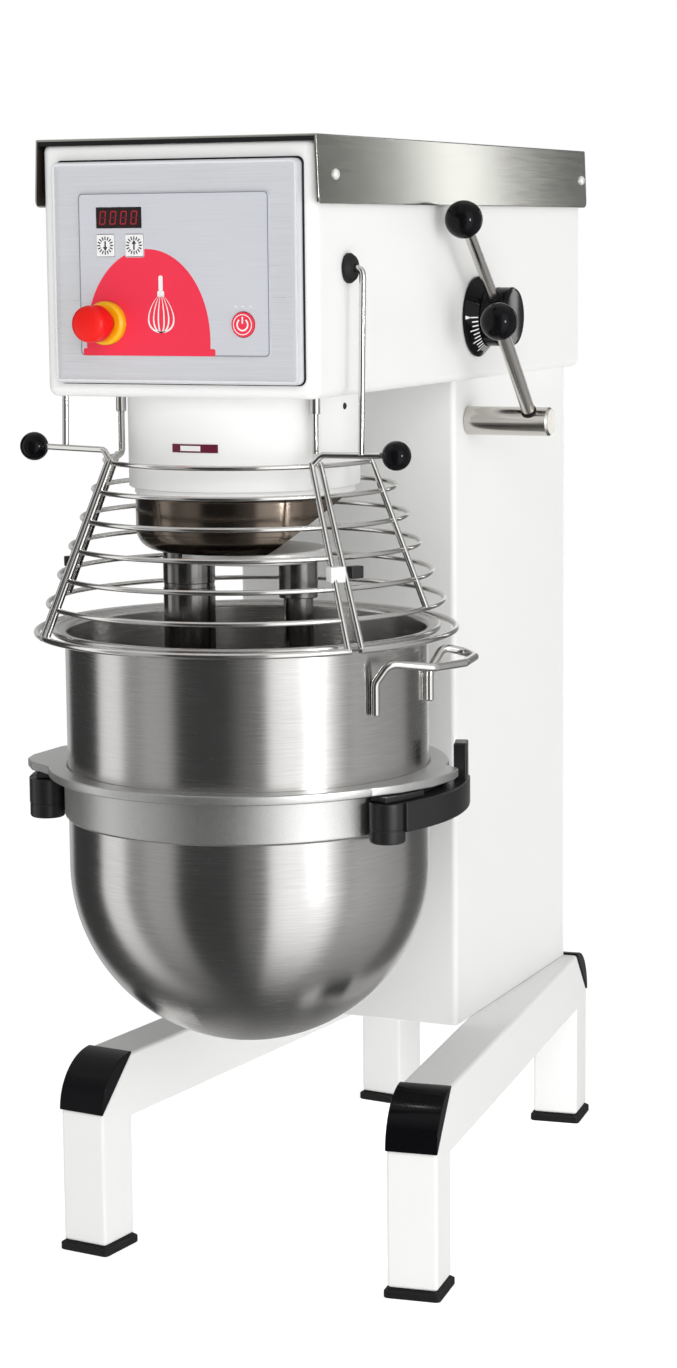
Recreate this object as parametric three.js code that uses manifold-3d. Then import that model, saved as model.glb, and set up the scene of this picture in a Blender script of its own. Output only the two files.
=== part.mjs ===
// Floor-standing planetary mixer with a 60-litre bowl, as an assembly of separate pieces.
// Millimetres, +Z up. While it is drawn, x = 0 is the plane of symmetry, y = 0 the bowl's axis
// and z = 0 the floor; the controls face -Y and the levers are on the +X side. At the end the
// whole machine is moved so that the origin is the middle of its footprint.

import * as THREE from 'three';
import { mergeVertices } from 'three/addons/utils/BufferGeometryUtils.js';
import Module from 'manifold-3d';

const wasm = await Module();
wasm.setup();

// ---------------------------------------------------------------- driving dimensions

const GAP = 0.3;                       // between faces that touch on the real machine

const LEG = 65;                        // side of the square legs, along the rail
const LEG_WIDTH = 63;                  // and across it
const RAIL_LENGTH = 819;
const RAIL_TOP = 246.6;
const RAIL_HEIGHT = 82;
const RAIL_SPLAY = THREE.MathUtils.degToRad(6.6);
const FOOT_X = 221.8;                  // middle of a front leg's face
const FOOT_Y = -32.4;
const PAD_HEIGHT = 12;
const PAD_LIP = 4;
const CAP_PROUD = 2;

const COLUMN = { x: 150, front: 297, back: 711, bottom: RAIL_TOP + GAP, wall: 4 };
const HEAD = { x: 171, front: -171, back: 707.5, bottom: 1078.5, top: 1365.5, wall: 5, corner: 14 };
const HEAD_FLOOR_OPENING = { x: 120, front: 312, back: 697.5 };      // above the column
const COVER = { x: 175, splay: 3, front: -174, back: 721, top: 1369.1, flange: 76, lip: 4, sheet: 2.5 };

const PANEL = { left: -150, right: 157, bottom: 1095, top: 1343, depth: 13.7, corner: 7 };
const OVERLAY = { left: -115, right: 122, bottom: 1126, top: 1308, thick: 1 };
const DISPLAY = { left: -92, right: -35, bottom: 1269, top: 1292 };
const KEY = { width: 22, height: 24.4, z: 1249.6, downX: -80.5, upX: -44 };
const START = { x: 89.8, z: 1161.7, radius: 14 };
const STOP = { x: -81.2, z: 1163, radius: 20.8, stem: 13, collar: 24.6, length: 70 };

const BOWL = { radius: 217, wall: 3, bottom: 296.8, rimTop: 802.1, rimRadius: 232.5 };
const COLLAR = { bandRadius: 221.5, bandBottom: 574.5, flangeRadius: 240.9, top: 635.8, thick: 11 };
const EAR_CORNERS = {                  // radius and azimuth of the corners of the collar's two ears
  left: [[243, 60], [262, 67], [271, 73], [271, 78], [262, 92], [250, 98]],
  right: [[242, 62], [249, 70], [256, 82], [260, 93], [258.6, 98.5], [250, 101]],
};
const HANDLE_WIRE = 5;
const HANDLE_PATH = [                  // radius, azimuth and height of the points it passes through
  [222.6, 66.5, 714], [222.6, 66.5, 752], [236, 68.6, 775], [264, 80, 767], [276, 92, 766],
  [275, 103, 766], [262, 108, 768], [235, 106, 775], [222.6, 100, 750], [222.6, 100, 714],
];

const PIVOT = { angle: 66, radius: 243, barrel: 21, pin: 6 };    // of the bowl latches
const LATCH = { bottom: 570, armBottom: 583, top: 617.4, fingerTop: 661, outer: 266, end: 112 };
const GUARD = { rings: 7, topRadius: 165.3, topZ: 999.2, growth: 14.1, drop: 33.8, wire: 3, bar: 3.7 };
const DOOR = { left: -43.5, right: 52.6 };             // azimuths where the guard's door ends
const CAGE = { left: -47.5, right: 56.7, side: 87.5 }; // and where the fixed cage has its bars
const GUARD_PIVOT = { y: -83, z: 1222, x: 190 };
const GUARD_KNOB = { left: [-237, -84, 1014], right: [230, -84, 1012], radius: 17 };

const DRUM = { radius: 137, lip: 130.5, bore: 122, bottom: 960.4 };
const PLANET = { radius: 130, top: 957, shoulder: 918, bottom: 893, heel: 113 };
const PLANET_CUT = { angle: 35, start: 25 };               // of the slope across its underside
const CARRIER = { radius: 88, bottom: 879, top: 892.6 };   // the plate under the head
const MAIN_SHAFT = { radius: 16, top: 1290 };
const ORBIT = 68;                      // from the machine's axis to the tool's
const TOOL_ANGLE = THREE.MathUtils.degToRad(204);
const MODULE = 4.25;                   // of the epicyclic gears
const RING_TEETH = 48;
const PINION_TEETH = 16;
const SPINDLE_RADIUS = 31;
const BEATER_CLEARANCE = 12;

const LIFT = { y: 344, z: 1025.5, shaft: 18, shaftEnd: 262, leverX: 236, leverAngle: 132.3, rod: 8.6 };
const LIFT_THIN = 12;                  // radius of the lift shaft inside the column
const LIFT_MODULE = 4;
const SECTOR_TEETH = 40;               // on a full turn of the lift sector
const IDLER_TEETH = 12;
const LEVER_LENGTH = 173;
const KNOB_RADIUS = 23;
const SPEED = {
  y: 320.6, z: 1156.7, dial: 50, hub: 36.5, hubEnd: 222, leverX: 203, leverAngle: 136.3, rod: 7,
};

const SPEED_SHAFT = 8;                 // radius of the stub that turns in the housing

const MOTOR = { y: 610, radius: 85, bottom: 930, top: 1205 };
const PULLEY = { bottom: 1245, top: 1275, driven: 105, driver: 35 };

const TURN = 2 * Math.PI;
const rad = THREE.MathUtils.degToRad;

// ---------------------------------------------------------------- finishes

const finish = (color, roughness, metalness) => () =>
  new THREE.MeshStandardMaterial({ color, roughness, metalness });

const WHITE_ENAMEL = finish(0xf1f2f1, 0.35, 0);
const BRUSHED_STEEL = finish(0xb9bbb8, 0.35, 1);
const POLISHED_STEEL = finish(0xcfcfcb, 0.12, 1);
const SATIN_CAST = finish(0xa7a8a6, 0.5, 1);
const BLACK_PLASTIC = finish(0x0c0c0d, 0.2, 0);
const BLACK_RUBBER = finish(0x141414, 0.7, 0);
const CONTROL_FILM = finish(0xc9cdd1, 0.4, 0.2);
const DISPLAY_GLASS = finish(0x1a0606, 0.1, 0);
const KEY_WHITE = finish(0xf2f2f2, 0.5, 0);
const CORAL = finish(0xff3b55, 0.45, 0);
const STOP_RED = finish(0xf5261b, 0.35, 0);
const COLLAR_YELLOW = finish(0xf2b705, 0.4, 0);
const GEAR_STEEL = finish(0x8f9294, 0.4, 1);
const BOARD_GREEN = finish(0x1f6b3a, 0.6, 0);
const MOTOR_GREY = finish(0x5d666d, 0.5, 0.4);
const BELT_BLACK = finish(0x1b1b1b, 0.8, 0);

// ---------------------------------------------------------------- tools

const machine = new THREE.Group();

function add(name, geometry, material) {
  const mesh = new THREE.Mesh(geometry, material());
  mesh.name = name;
  machine.add(mesh);
  return mesh;
}

function toSolid(geometry) {
  const bare = geometry.clone();
  bare.deleteAttribute('normal');
  bare.deleteAttribute('uv');
  const merged = mergeVertices(bare, 1e-3);
  const kept = [];
  const index = merged.index.array;
  for (let i = 0; i < index.length; i += 3) {
    const [a, b, c] = [index[i], index[i + 1], index[i + 2]];
    if (a !== b && b !== c && c !== a) kept.push(a, b, c);
  }
  return new wasm.Manifold(new wasm.Mesh({
    numProp: 3,
    vertProperties: new Float32Array(merged.attributes.position.array),
    triVerts: new Uint32Array(kept),
  }));
}

function toGeometry(solid) {
  const mesh = solid.getMesh();
  const geometry = new THREE.BufferGeometry();
  geometry.setAttribute('position', new THREE.BufferAttribute(mesh.vertProperties, 3));
  geometry.setIndex(new THREE.BufferAttribute(mesh.triVerts, 1));
  geometry.computeVertexNormals();
  return geometry;
}

const join = (...parts) => toGeometry(parts.map(toSolid).reduce((a, b) => a.add(b)));

function cut(body, ...holes) {
  return toGeometry(holes.map(toSolid).reduce((a, b) => a.subtract(b), toSolid(body)));
}

function box(x0, x1, y0, y1, z0, z1) {
  const geometry = new THREE.BoxGeometry(x1 - x0, y1 - y0, z1 - z0);
  return geometry.translate((x0 + x1) / 2, (y0 + y1) / 2, (z0 + z1) / 2);
}

function rod(radius, from, to, sides = 24) {
  const start = new THREE.Vector3(...from);
  const end = new THREE.Vector3(...to);
  const axis = end.clone().sub(start);
  const geometry = new THREE.CylinderGeometry(radius, radius, axis.length(), sides);
  const up = new THREE.Vector3(0, 1, 0);
  geometry.applyQuaternion(new THREE.Quaternion().setFromUnitVectors(up, axis.clone().normalize()));
  const middle = start.add(end).multiplyScalar(0.5);
  return geometry.translate(middle.x, middle.y, middle.z);
}

const post = (radius, x, y, z0, z1, sides) => rod(radius, [x, y, z0], [x, y, z1], sides);

// Turns a closed or axis-to-axis outline of [radius, height] points about the Z axis.
function turned(outline, sides, x = 0, y = 0) {
  const points = outline.map(([r, z]) => new THREE.Vector2(r, z));
  return new THREE.LatheGeometry(points, sides).rotateX(Math.PI / 2).translate(x, y, 0);
}

const closed = (outline) => [...outline, outline[0]];

// Turns an outline of [radius, distance along X] points about the line y, z parallel to X.
function turnedX(outline, sides, y, z) {
  return turned(outline, sides).rotateY(Math.PI / 2).translate(0, y, z);
}

// Turns an outline of [radius, distance out of the panel] points about the line x, z.
function turnedFront(outline, sides, x, faceY, z) {
  return turned(outline, sides).rotateX(Math.PI / 2).translate(x, faceY, z);
}

// Extrudes an outline of [x, y] points from z0 to z1.
function slab(outline, z0, z1, hole) {
  const shape = new THREE.Shape(outline.map(([x, y]) => new THREE.Vector2(x, y)));
  if (hole) shape.holes.push(new THREE.Path(hole.map(([x, y]) => new THREE.Vector2(x, y))));
  const options = { depth: z1 - z0, bevelEnabled: false };
  return new THREE.ExtrudeGeometry(shape, options).translate(0, 0, z0);
}

// Extrudes an outline of [y, z] points from x0 to x1.
function profile(outline, x0, x1, hole) {
  const basis = new THREE.Matrix4().makeBasis(
    new THREE.Vector3(0, 1, 0), new THREE.Vector3(0, 0, 1), new THREE.Vector3(1, 0, 0));
  return slab(outline, x0, x1, hole).applyMatrix4(basis);
}

// Extrudes an outline of [x, z] points forward from y = back by a depth.
function front(outline, back, depth) {
  return slab(outline, 0, depth).rotateX(Math.PI / 2).translate(0, back, 0);
}

function roundedRectangle(left, right, bottom, top, radius, steps = 4) {
  const centres = [
    [right - radius, bottom + radius, -90], [right - radius, top - radius, 0],
    [left + radius, top - radius, 90], [left + radius, bottom + radius, 180],
  ];
  return centres.flatMap(([x, y, start]) => arc(x, y, radius, start, start + 90, steps));
}

function arc(x, y, radius, from, to, steps) {
  const points = [];
  for (let i = 0; i <= steps; i += 1) {
    const angle = rad(from + (to - from) * i / steps);
    points.push([x + radius * Math.cos(angle), y + radius * Math.sin(angle)]);
  }
  return points;
}

// A place at an azimuth about the bowl's axis: 0 degrees is the front, +90 the lever side.
const around = (radius, azimuth, z = 0) =>
  [radius * Math.sin(rad(azimuth)), -radius * Math.cos(rad(azimuth)), z];

// A flat piece of ring between two azimuths.
function ringSector(inner, outer, from, to, z0, z1, steps) {
  const outline = [];
  for (let i = 0; i <= steps; i += 1) outline.push(around(outer, from + (to - from) * i / steps));
  for (let i = steps; i >= 0; i -= 1) outline.push(around(inner, from + (to - from) * i / steps));
  return slab(outline.map(([x, y]) => [x, y]), z0, z1);
}

class RingArc extends THREE.Curve {
  constructor(radius, z, from, to) {
    super();
    Object.assign(this, { radius, z, from, to });
  }

  getPoint(t, target = new THREE.Vector3()) {
    return target.set(...around(this.radius, this.from + (this.to - this.from) * t, this.z));
  }
}

function wireAlong(curve, radius, steps, sides = 6) {
  const section = new THREE.Shape(arc(0, 0, radius, 0, 360 - 360 / sides, sides - 1)
    .map(([x, y]) => new THREE.Vector2(x, y)));
  return new THREE.ExtrudeGeometry(section, { steps, extrudePath: curve });
}

function wireArc(radius, z, from, to, wire, degreesPerStep = 12) {
  const steps = Math.max(3, Math.ceil(Math.abs(to - from) / degreesPerStep));
  return wireAlong(new RingArc(radius, z, from, to), wire, steps);
}

function wireThrough(points, radius, steps, sides = 6) {
  const curve = new THREE.CatmullRomCurve3(points.map((p) => new THREE.Vector3(...p)), false, 'centripetal');
  return wireAlong(curve, radius, steps, sides);
}

// Outline of a spur gear whose first tooth points along `phase`, over part of a turn or all of it.
function gearOutline(teeth, module, phase, { inward = false, count = teeth } = {}) {
  const pitch = TURN / teeth;
  const radius = teeth * module / 2;
  const side = inward ? -1 : 1;
  const root = radius - side * 1.1 * module;
  const tip = radius + side * 0.8 * module;
  const points = [];
  for (let i = 0; i < count; i += 1) {
    const middle = phase + i * pitch;
    for (const [r, offset] of [[root, -0.25], [tip, -0.11], [tip, 0.11], [root, 0.25]]) {
      points.push([r * Math.cos(middle + offset * pitch), r * Math.sin(middle + offset * pitch)]);
    }
  }
  return points;
}

// ---------------------------------------------------------------- base

function sideFrame(name, side) {
  const end = RAIL_LENGTH;
  const chamfer = RAIL_TOP - LEG;
  const outline = [
    [0, PAD_HEIGHT], [LEG, PAD_HEIGHT], [LEG, RAIL_TOP - RAIL_HEIGHT],
    [end - LEG, RAIL_TOP - RAIL_HEIGHT], [end - LEG, PAD_HEIGHT], [end, PAD_HEIGHT],
    [end, chamfer], [end - LEG, RAIL_TOP], [LEG, RAIL_TOP], [0, chamfer],
  ];
  placeOnSide(add(name, profile(outline, -LEG_WIDTH / 2, LEG_WIDTH / 2), WHITE_ENAMEL), side);
}

function placeOnSide(mesh, side) {
  mesh.position.set(side * FOOT_X, FOOT_Y, 0);
  mesh.rotation.z = side * RAIL_SPLAY;
}

function footPad(name, side, atBack) {
  const start = atBack ? RAIL_LENGTH - LEG : 0;
  const half = LEG_WIDTH / 2 + PAD_LIP;
  const pad = box(-half, half, start - PAD_LIP, start + LEG + PAD_LIP, 0, PAD_HEIGHT - GAP);
  placeOnSide(add(name, pad, BLACK_RUBBER), side);
}

function cornerCap(name, side, atBack) {
  const centreZ = RAIL_TOP - LEG;
  const curve = arc(LEG, centreZ, LEG + CAP_PROUD, 180, 90, 7);
  const chord = [[LEG, RAIL_TOP + 0.4], [-0.4, centreZ]];
  let outline = [...curve, ...chord];
  if (atBack) outline = outline.map(([y, z]) => [RAIL_LENGTH - y, z]);
  const half = LEG_WIDTH / 2 + 0.8;
  placeOnSide(add(name, profile(outline, -half, half), BLACK_PLASTIC), side);
}

function base() {
  for (const [where, side] of [['left', -1], ['right', 1]]) {
    sideFrame(`side_frame_${where}`, side);
    for (const [end, atBack] of [['front', false], ['rear', true]]) {
      footPad(`foot_pad_${end}_${where}`, side, atBack);
      cornerCap(`corner_cap_${end}_${where}`, side, atBack);
    }
  }
}

// ---------------------------------------------------------------- column

const SLOT = { x: 44, bottom: 405, top: 645 };       // that the bowl carriage passes through

function column() {
  const { x, front: y0, back, bottom, wall } = COLUMN;
  const shellBack = back - wall;
  const top = HEAD.bottom - GAP;
  const outer = box(-x, x, y0, shellBack, bottom, top);
  const inner = box(-x + wall, x - wall, y0 + wall, shellBack - wall, bottom - 1, top + 1);
  const opening = box(-x + 24, x - 24, shellBack - wall - 1, shellBack + 1, bottom - 1, top + 1);
  const slot = box(-SLOT.x, SLOT.x, y0 - 1, y0 + wall + 1, SLOT.bottom, SLOT.top);
  const shaftHole = rod(LIFT_THIN + 0.5, [x - wall - 1, LIFT.y, LIFT.z], [x + 1, LIFT.y, LIFT.z]);
  const floor = box(-x + 1, x - 1, y0 + 1, shellBack - 1, bottom, bottom + 10);
  const shell = cut(outer, inner, opening, slot, shaftHole);
  add('column_shell', join(shell, floor), WHITE_ENAMEL);
  add('column_rear_cover', box(-x, x, shellBack + GAP, back, bottom, top - 8), WHITE_ENAMEL);
}

// ---------------------------------------------------------------- head

function headHousing() {
  const { x, front: y0, back, bottom, top, wall, corner } = HEAD;
  const innerPlan = roundedRectangle(-x + wall, x - wall, y0 + wall, back - wall, corner - wall);
  const inner = slab(innerPlan, bottom + wall, top + 1);
  const controlOpening = box(-105, 112, y0 - 1, y0 + wall + 1, 1132, 1302);
  const drumHole = post(61, 0, 0, bottom - 1, bottom + wall + 1, 32);
  const { x: openX, front: openFront, back: openBack } = HEAD_FLOOR_OPENING;
  const columnOpening = box(-openX, openX, openFront, openBack, bottom - 1, bottom + wall + 1);
  const guardHole = rod(5, [-x - 1, GUARD_PIVOT.y, GUARD_PIVOT.z], [x + 1, GUARD_PIVOT.y, GUARD_PIVOT.z]);
  const speedHole = rod(SPEED_SHAFT + 0.6, [x - wall - 1, SPEED.y, SPEED.z], [x + 1, SPEED.y, SPEED.z]);
  const shell = slab(roundedRectangle(-x, x, y0, back, corner), bottom, top);
  add('head_housing',
    cut(shell, inner, controlOpening, drumHole, columnOpening, guardHole, speedHole), WHITE_ENAMEL);
}

// A folded sheet, open below and, but for a narrow lip, at the front. Its sides lean out downwards.
function topCover() {
  const { x, splay, front: y0, back, top, flange, lip, sheet } = COVER;
  const section = (inset, upper, lower) => {
    const halfTop = x - inset;
    const halfLow = x - inset + splay * (top - lower) / flange;
    return [[-halfTop, upper], [-halfLow, lower], [halfLow, lower], [halfTop, upper]];
  };
  const outer = front(section(0, top, top - flange), back, back - y0);
  const inner = front(section(sheet, top - sheet, top - flange - 1), back - sheet, back - y0 - 2 * sheet);
  const mouth = front(section(sheet, top - lip, top - flange - 1), y0 + sheet + 1, sheet + 2);
  add('top_cover', cut(outer, inner, mouth), BRUSHED_STEEL);
}

// ---------------------------------------------------------------- control panel

const PANEL_FACE = HEAD.front - GAP - PANEL.depth;
const OVERLAY_FACE = PANEL_FACE - GAP - OVERLAY.thick;

function keyBlock(x, y0, y1, grow = 0) {
  const half = KEY.width / 2 + grow;
  const rise = KEY.height / 2 + grow;
  return box(x - half, x + half, y0, y1, KEY.z - rise, KEY.z + rise);
}

function controlPanel() {
  const { left, right, bottom, top, depth, corner } = PANEL;
  const plate = front(roundedRectangle(left, right, bottom, top, corner), HEAD.front - GAP, depth);
  const through = (grow) => [
    keyBlock(KEY.downX, -200, -160, grow), keyBlock(KEY.upX, -200, -160, grow),
    rod(START.radius + grow, [START.x, -200, START.z], [START.x, -160, START.z], 24),
  ];
  const stemHole = rod(STOP.stem + 0.5, [STOP.x, -200, STOP.z], [STOP.x, -160, STOP.z], 24);
  add('control_panel', cut(plate, ...through(0.5), stemHole), BRUSHED_STEEL);

  const film = front(roundedRectangle(OVERLAY.left, OVERLAY.right, OVERLAY.bottom, OVERLAY.top, 5, 2),
    PANEL_FACE - GAP, OVERLAY.thick);
  const window = box(DISPLAY.left - GAP, DISPLAY.right + GAP, -200, -160, DISPLAY.bottom - GAP,
    DISPLAY.top + GAP);
  const collarHole = rod(STOP.collar + GAP, [STOP.x, -200, STOP.z], [STOP.x, -160, STOP.z], 32);
  add('panel_overlay', cut(film, ...through(0.6), window, collarHole), CONTROL_FILM);
  add('display_window', box(DISPLAY.left, DISPLAY.right, OVERLAY_FACE - 0.5, PANEL_FACE - GAP,
    DISPLAY.bottom, DISPLAY.top), DISPLAY_GLASS);
}

function buttons() {
  add('key_down', keyBlock(KEY.downX, OVERLAY_FACE - 1.4, HEAD.front - 5), KEY_WHITE);
  add('key_up', keyBlock(KEY.upX, OVERLAY_FACE - 1.4, HEAD.front - 5), KEY_WHITE);
  const startFace = [[0, 0], [START.radius, 0], [START.radius, 11.5], [START.radius - 2, 12.5], [0, 12.5]];
  add('start_button', turnedFront(startFace, 24, START.x, -176, START.z), CORAL);

  const collar = closed([[STOP.stem + 0.6, 0], [STOP.collar, 0], [STOP.collar, 8], [STOP.collar - 3, 11],
    [STOP.stem + 0.6, 11]]);
  add('stop_collar', turnedFront(collar, 24, STOP.x, PANEL_FACE - GAP, STOP.z), COLLAR_YELLOW);
  const { radius, stem, length } = STOP;
  const mushroom = [[0, 0], [stem, 0], [stem, 38], [radius - 3, 38], [radius, 41], [radius, length - 9],
    [radius - 2, length - 4], [radius - 6, length - 1], [0, length]];
  add('stop_button', turnedFront(mushroom, 20, STOP.x, -169, STOP.z), STOP_RED);
  add('control_board', box(-100, 108, -150, -147, 1136, 1298), BOARD_GREEN);
}

// ---------------------------------------------------------------- gearbox and planetary head

function gearbox() {
  const { radius, lip, bore, bottom } = DRUM;
  const top = HEAD.bottom - GAP;
  const outline = closed([
    [bore, bottom], [lip, bottom], [lip, bottom + 8], [radius, bottom + 8], [radius, top],
    [60, top], [60, 1140], [35.3, 1140], [35.3, 1045], [bore, 1045],
  ]);
  add('gearbox_drum', turned(outline, 36), WHITE_ENAMEL);

  const ringPhase = TOOL_ANGLE + TURN / RING_TEETH / 2;
  const teeth = gearOutline(RING_TEETH, MODULE, ringPhase, { inward: true });
  const rim = arc(0, 0, bore - 1, 0, 350, 35);
  add('ring_gear', slab(rim, 985, 1010, teeth.reverse()), GEAR_STEEL);

  for (const [where, z] of [['lower', 1048], ['upper', 1118]]) {
    const race = closed([[16.4, z], [35, z], [35, z + 20], [16.4, z + 20]]);
    add(`main_bearing_${where}`, turned(race, 24), GEAR_STEEL);
  }
}

const TOOL_X = ORBIT * Math.cos(TOOL_ANGLE);
const TOOL_Y = ORBIT * Math.sin(TOOL_ANGLE);

function planetHead() {
  const { radius, top, shoulder, bottom, heel } = PLANET;
  const heelRound = arc(radius - 25, shoulder, 25, -75, 0, 4);
  const dish = turned([[0, bottom], [heel - 6, bottom], ...heelRound, [radius, top], [0, top]], 36);
  const slope = box(-200, 200, -200, 200, -200, 0);
  slope.rotateY(rad(-PLANET_CUT.angle)).translate(PLANET_CUT.start, 0, bottom).rotateZ(TOOL_ANGLE + Math.PI);
  const spindleHole = post(SPINDLE_RADIUS + 0.4, TOOL_X, TOOL_Y, bottom - 5, top + 5, 32);
  const shaftHole = post(MAIN_SHAFT.radius + GAP, 0, 0, bottom + 20, top + 5);
  add('planet_head', cut(dish, slope, spindleHole, shaftHole), POLISHED_STEEL);
  add('main_shaft', post(MAIN_SHAFT.radius, 0, 0, bottom + 20 + GAP, MAIN_SHAFT.top), GEAR_STEEL);
}

// The carrier plate under the head, with the shaft of the bowl scraper and its blade.
function scraper() {
  const { radius, bottom, top } = CARRIER;
  const plate = post(radius, 8, 0, bottom, top, 40);
  const socket = post(23.5, ORBIT - 6, 0, 832, bottom + 1);
  const neck = post(18, ORBIT - 6, 0, 752, 833, 20);
  const arm = box(ORBIT - 12, 197, -9, 9, 752, 766);
  const bend = BOWL.bottom + BOWL.radius;
  const bladeOuter = BOWL.radius - BOWL.wall - 7;
  const lower = arc(0, bend, bladeOuter, -35, 0, 5);
  const upper = arc(0, bend, bladeOuter - 13, 0, -35, 5);
  const outline = [...lower, [bladeOuter, 766], [bladeOuter - 13, 766], ...upper];
  const blade = slab(outline, -5, 5).rotateX(Math.PI / 2);
  const turn = TOOL_ANGLE + Math.PI;
  const body = join(plate, socket, neck, arm, blade).rotateZ(turn);
  const clearOfSpindle = post(SPINDLE_RADIUS + 0.6, TOOL_X, TOOL_Y, bottom - 10, top + 5, 32);
  add('bowl_scraper', cut(body, clearOfSpindle), POLISHED_STEEL);
}

function toolDrive() {
  const body = post(SPINDLE_RADIUS, TOOL_X, TOOL_Y, 768, PLANET.top - 4, 32);
  const stub = post(15, TOOL_X, TOOL_Y, PLANET.top - 5, 1020);
  add('tool_spindle', join(body, stub), POLISHED_STEEL);
  const bore = arc(0, 0, 15 + GAP, 0, 337.5, 15).reverse();
  const gear = slab(gearOutline(PINION_TEETH, MODULE, TOOL_ANGLE), 986, 1009, bore);
  add('planet_pinion', gear.translate(TOOL_X, TOOL_Y, 0), GEAR_STEEL);
}

// Flat beater: its edge follows the bowl wall at the far side of its orbit.
function beater() {
  const centreZ = BOWL.bottom + BOWL.radius;
  const reach = BOWL.radius - BOWL.wall - BEATER_CLEARANCE;
  const half = (z) => Math.sqrt(reach ** 2 - Math.max(0, centreZ - z) ** 2) - ORBIT;
  const tipZ = centreZ - Math.sqrt(reach ** 2 - (ORBIT + 22) ** 2);
  const shoulderZ = 690;
  const outlineAt = (inset) => {
    const side = [];
    for (let i = 0; i <= 6; i += 1) {
      const z = tipZ + inset + (centreZ - tipZ - inset) * i / 6;
      side.push([Math.max(8, half(z) - inset), z]);
    }
    side.push([half(centreZ) - inset, shoulderZ - inset - 50], [34, shoulderZ - inset]);
    return [...side, ...side.map(([y, z]) => [-y, z]).reverse()];
  };
  const frame = profile(outlineAt(0), -9, 9);
  const opening = profile(outlineAt(20), -20, 20);
  const spine = box(-8, 8, -12, 12, tipZ + 5, shoulderZ - 5);
  const bars = [430, 530, 630].map((z) => profile(outlineBar(half, z), -7, 7));
  const hub = post(24, 0, 0, shoulderZ - 16, 768 - GAP, 24);
  const solid = [spine, ...bars, hub].map(toSolid)
    .reduce((a, b) => a.add(b), toSolid(frame).subtract(toSolid(opening)));
  const geometry = toGeometry(solid).rotateZ(rad(-24)).translate(TOOL_X, TOOL_Y, 0);
  add('flat_beater', geometry, SATIN_CAST);
}

function outlineBar(half, z) {
  const y = half(z) - 10;
  return [[-y, z + 14], [0, z], [y, z + 14], [y, z + 30], [0, z + 16], [-y, z + 30]];
}

// ---------------------------------------------------------------- drive

function drive() {
  const { bottom, top, driven, driver } = PULLEY;
  const bore = MAIN_SHAFT.radius + GAP;
  const wheel = closed([[bore, bottom], [driven, bottom], [driven, top], [bore, top]]);
  add('driven_pulley', turned(wheel, 40), GEAR_STEEL);
  const rotor = [[0, MOTOR.top + GAP], [12, MOTOR.top + GAP], [12, bottom], [driver, bottom],
    [driver, top], [0, top]];
  add('motor_pulley', turned(rotor, 28, 0, MOTOR.y), GEAR_STEEL);

  // the belt's straight runs touch both pulleys, so its ends are arcs about each of them
  const lean = THREE.MathUtils.radToDeg(Math.asin((driven - driver) / MOTOR.y));
  const loop = (grow) => [
    ...arc(0, 0, driven + grow, 180 - lean, 360 + lean, 20),
    ...arc(0, MOTOR.y, driver + grow, lean, 180 - lean, 10),
  ];
  add('drive_belt', slab(loop(7), bottom + 3, top - 3, loop(GAP + 0.6).reverse()), BELT_BLACK);

  const body = post(MOTOR.radius, 0, MOTOR.y, MOTOR.bottom, MOTOR.top, 32);
  const flange = box(-132, 132, MOTOR.y - 88, HEAD.back - HEAD.wall - 1, HEAD.bottom + HEAD.wall + GAP,
    HEAD.bottom + HEAD.wall + 10);
  add('drive_motor', join(body, flange), MOTOR_GREY);
}

// ---------------------------------------------------------------- bowl

function bowl() {
  const { radius, wall, bottom, rimTop, rimRadius } = BOWL;
  const centre = bottom + radius;
  const outside = arc(0, centre, radius, -90, 0, 7);
  const inside = arc(0, centre, radius - wall, 0, -90, 7);
  outside[0][0] = 0;
  inside[7][0] = 0;
  const rim = [[radius, rimTop - 9], [rimRadius, rimTop - 8], [rimRadius, rimTop], [radius - wall, rimTop]];
  add('bowl', turned([...outside, ...rim, ...inside], 36), BRUSHED_STEEL);

  const { bandRadius, bandBottom, flangeRadius, top, thick } = COLLAR;
  const bore = radius + GAP;
  const band = closed([[bore, bandBottom], [bandRadius - 2, bandBottom], [bandRadius, bandBottom + 3],
    [bandRadius, top - thick], [flangeRadius, top - thick], [flangeRadius, top], [bore, top]]);
  const ears = [ear(EAR_CORNERS.left, -1, top - thick, top), ear(EAR_CORNERS.right, 1, top - thick, top)];
  add('bowl_collar', join(turned(band, 36), ...ears), SATIN_CAST);

  // a wire loop on the lever side; its two legs stand against the wall
  const path = HANDLE_PATH.map(([r, azimuth, z]) => around(r, azimuth, z));
  add('bowl_handle', wireThrough(path, HANDLE_WIRE, 16), POLISHED_STEEL);
}

// A flat lug that stands out of the collar's flange.
function ear(corners, side, z0, z1) {
  const root = COLLAR.flangeRadius - 8;
  const outline = [[root, 54], ...corners, [root, 106], [root, 75]]
    .map(([r, azimuth]) => around(r, side * azimuth).slice(0, 2));
  return slab(side > 0 ? outline : outline.reverse(), z0, z1);
}

// ---------------------------------------------------------------- bowl carriage and latches

const YOKE = { inner: 224.5, outer: 240.5, bottom: 585, top: COLLAR.top - COLLAR.thick - GAP };

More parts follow.
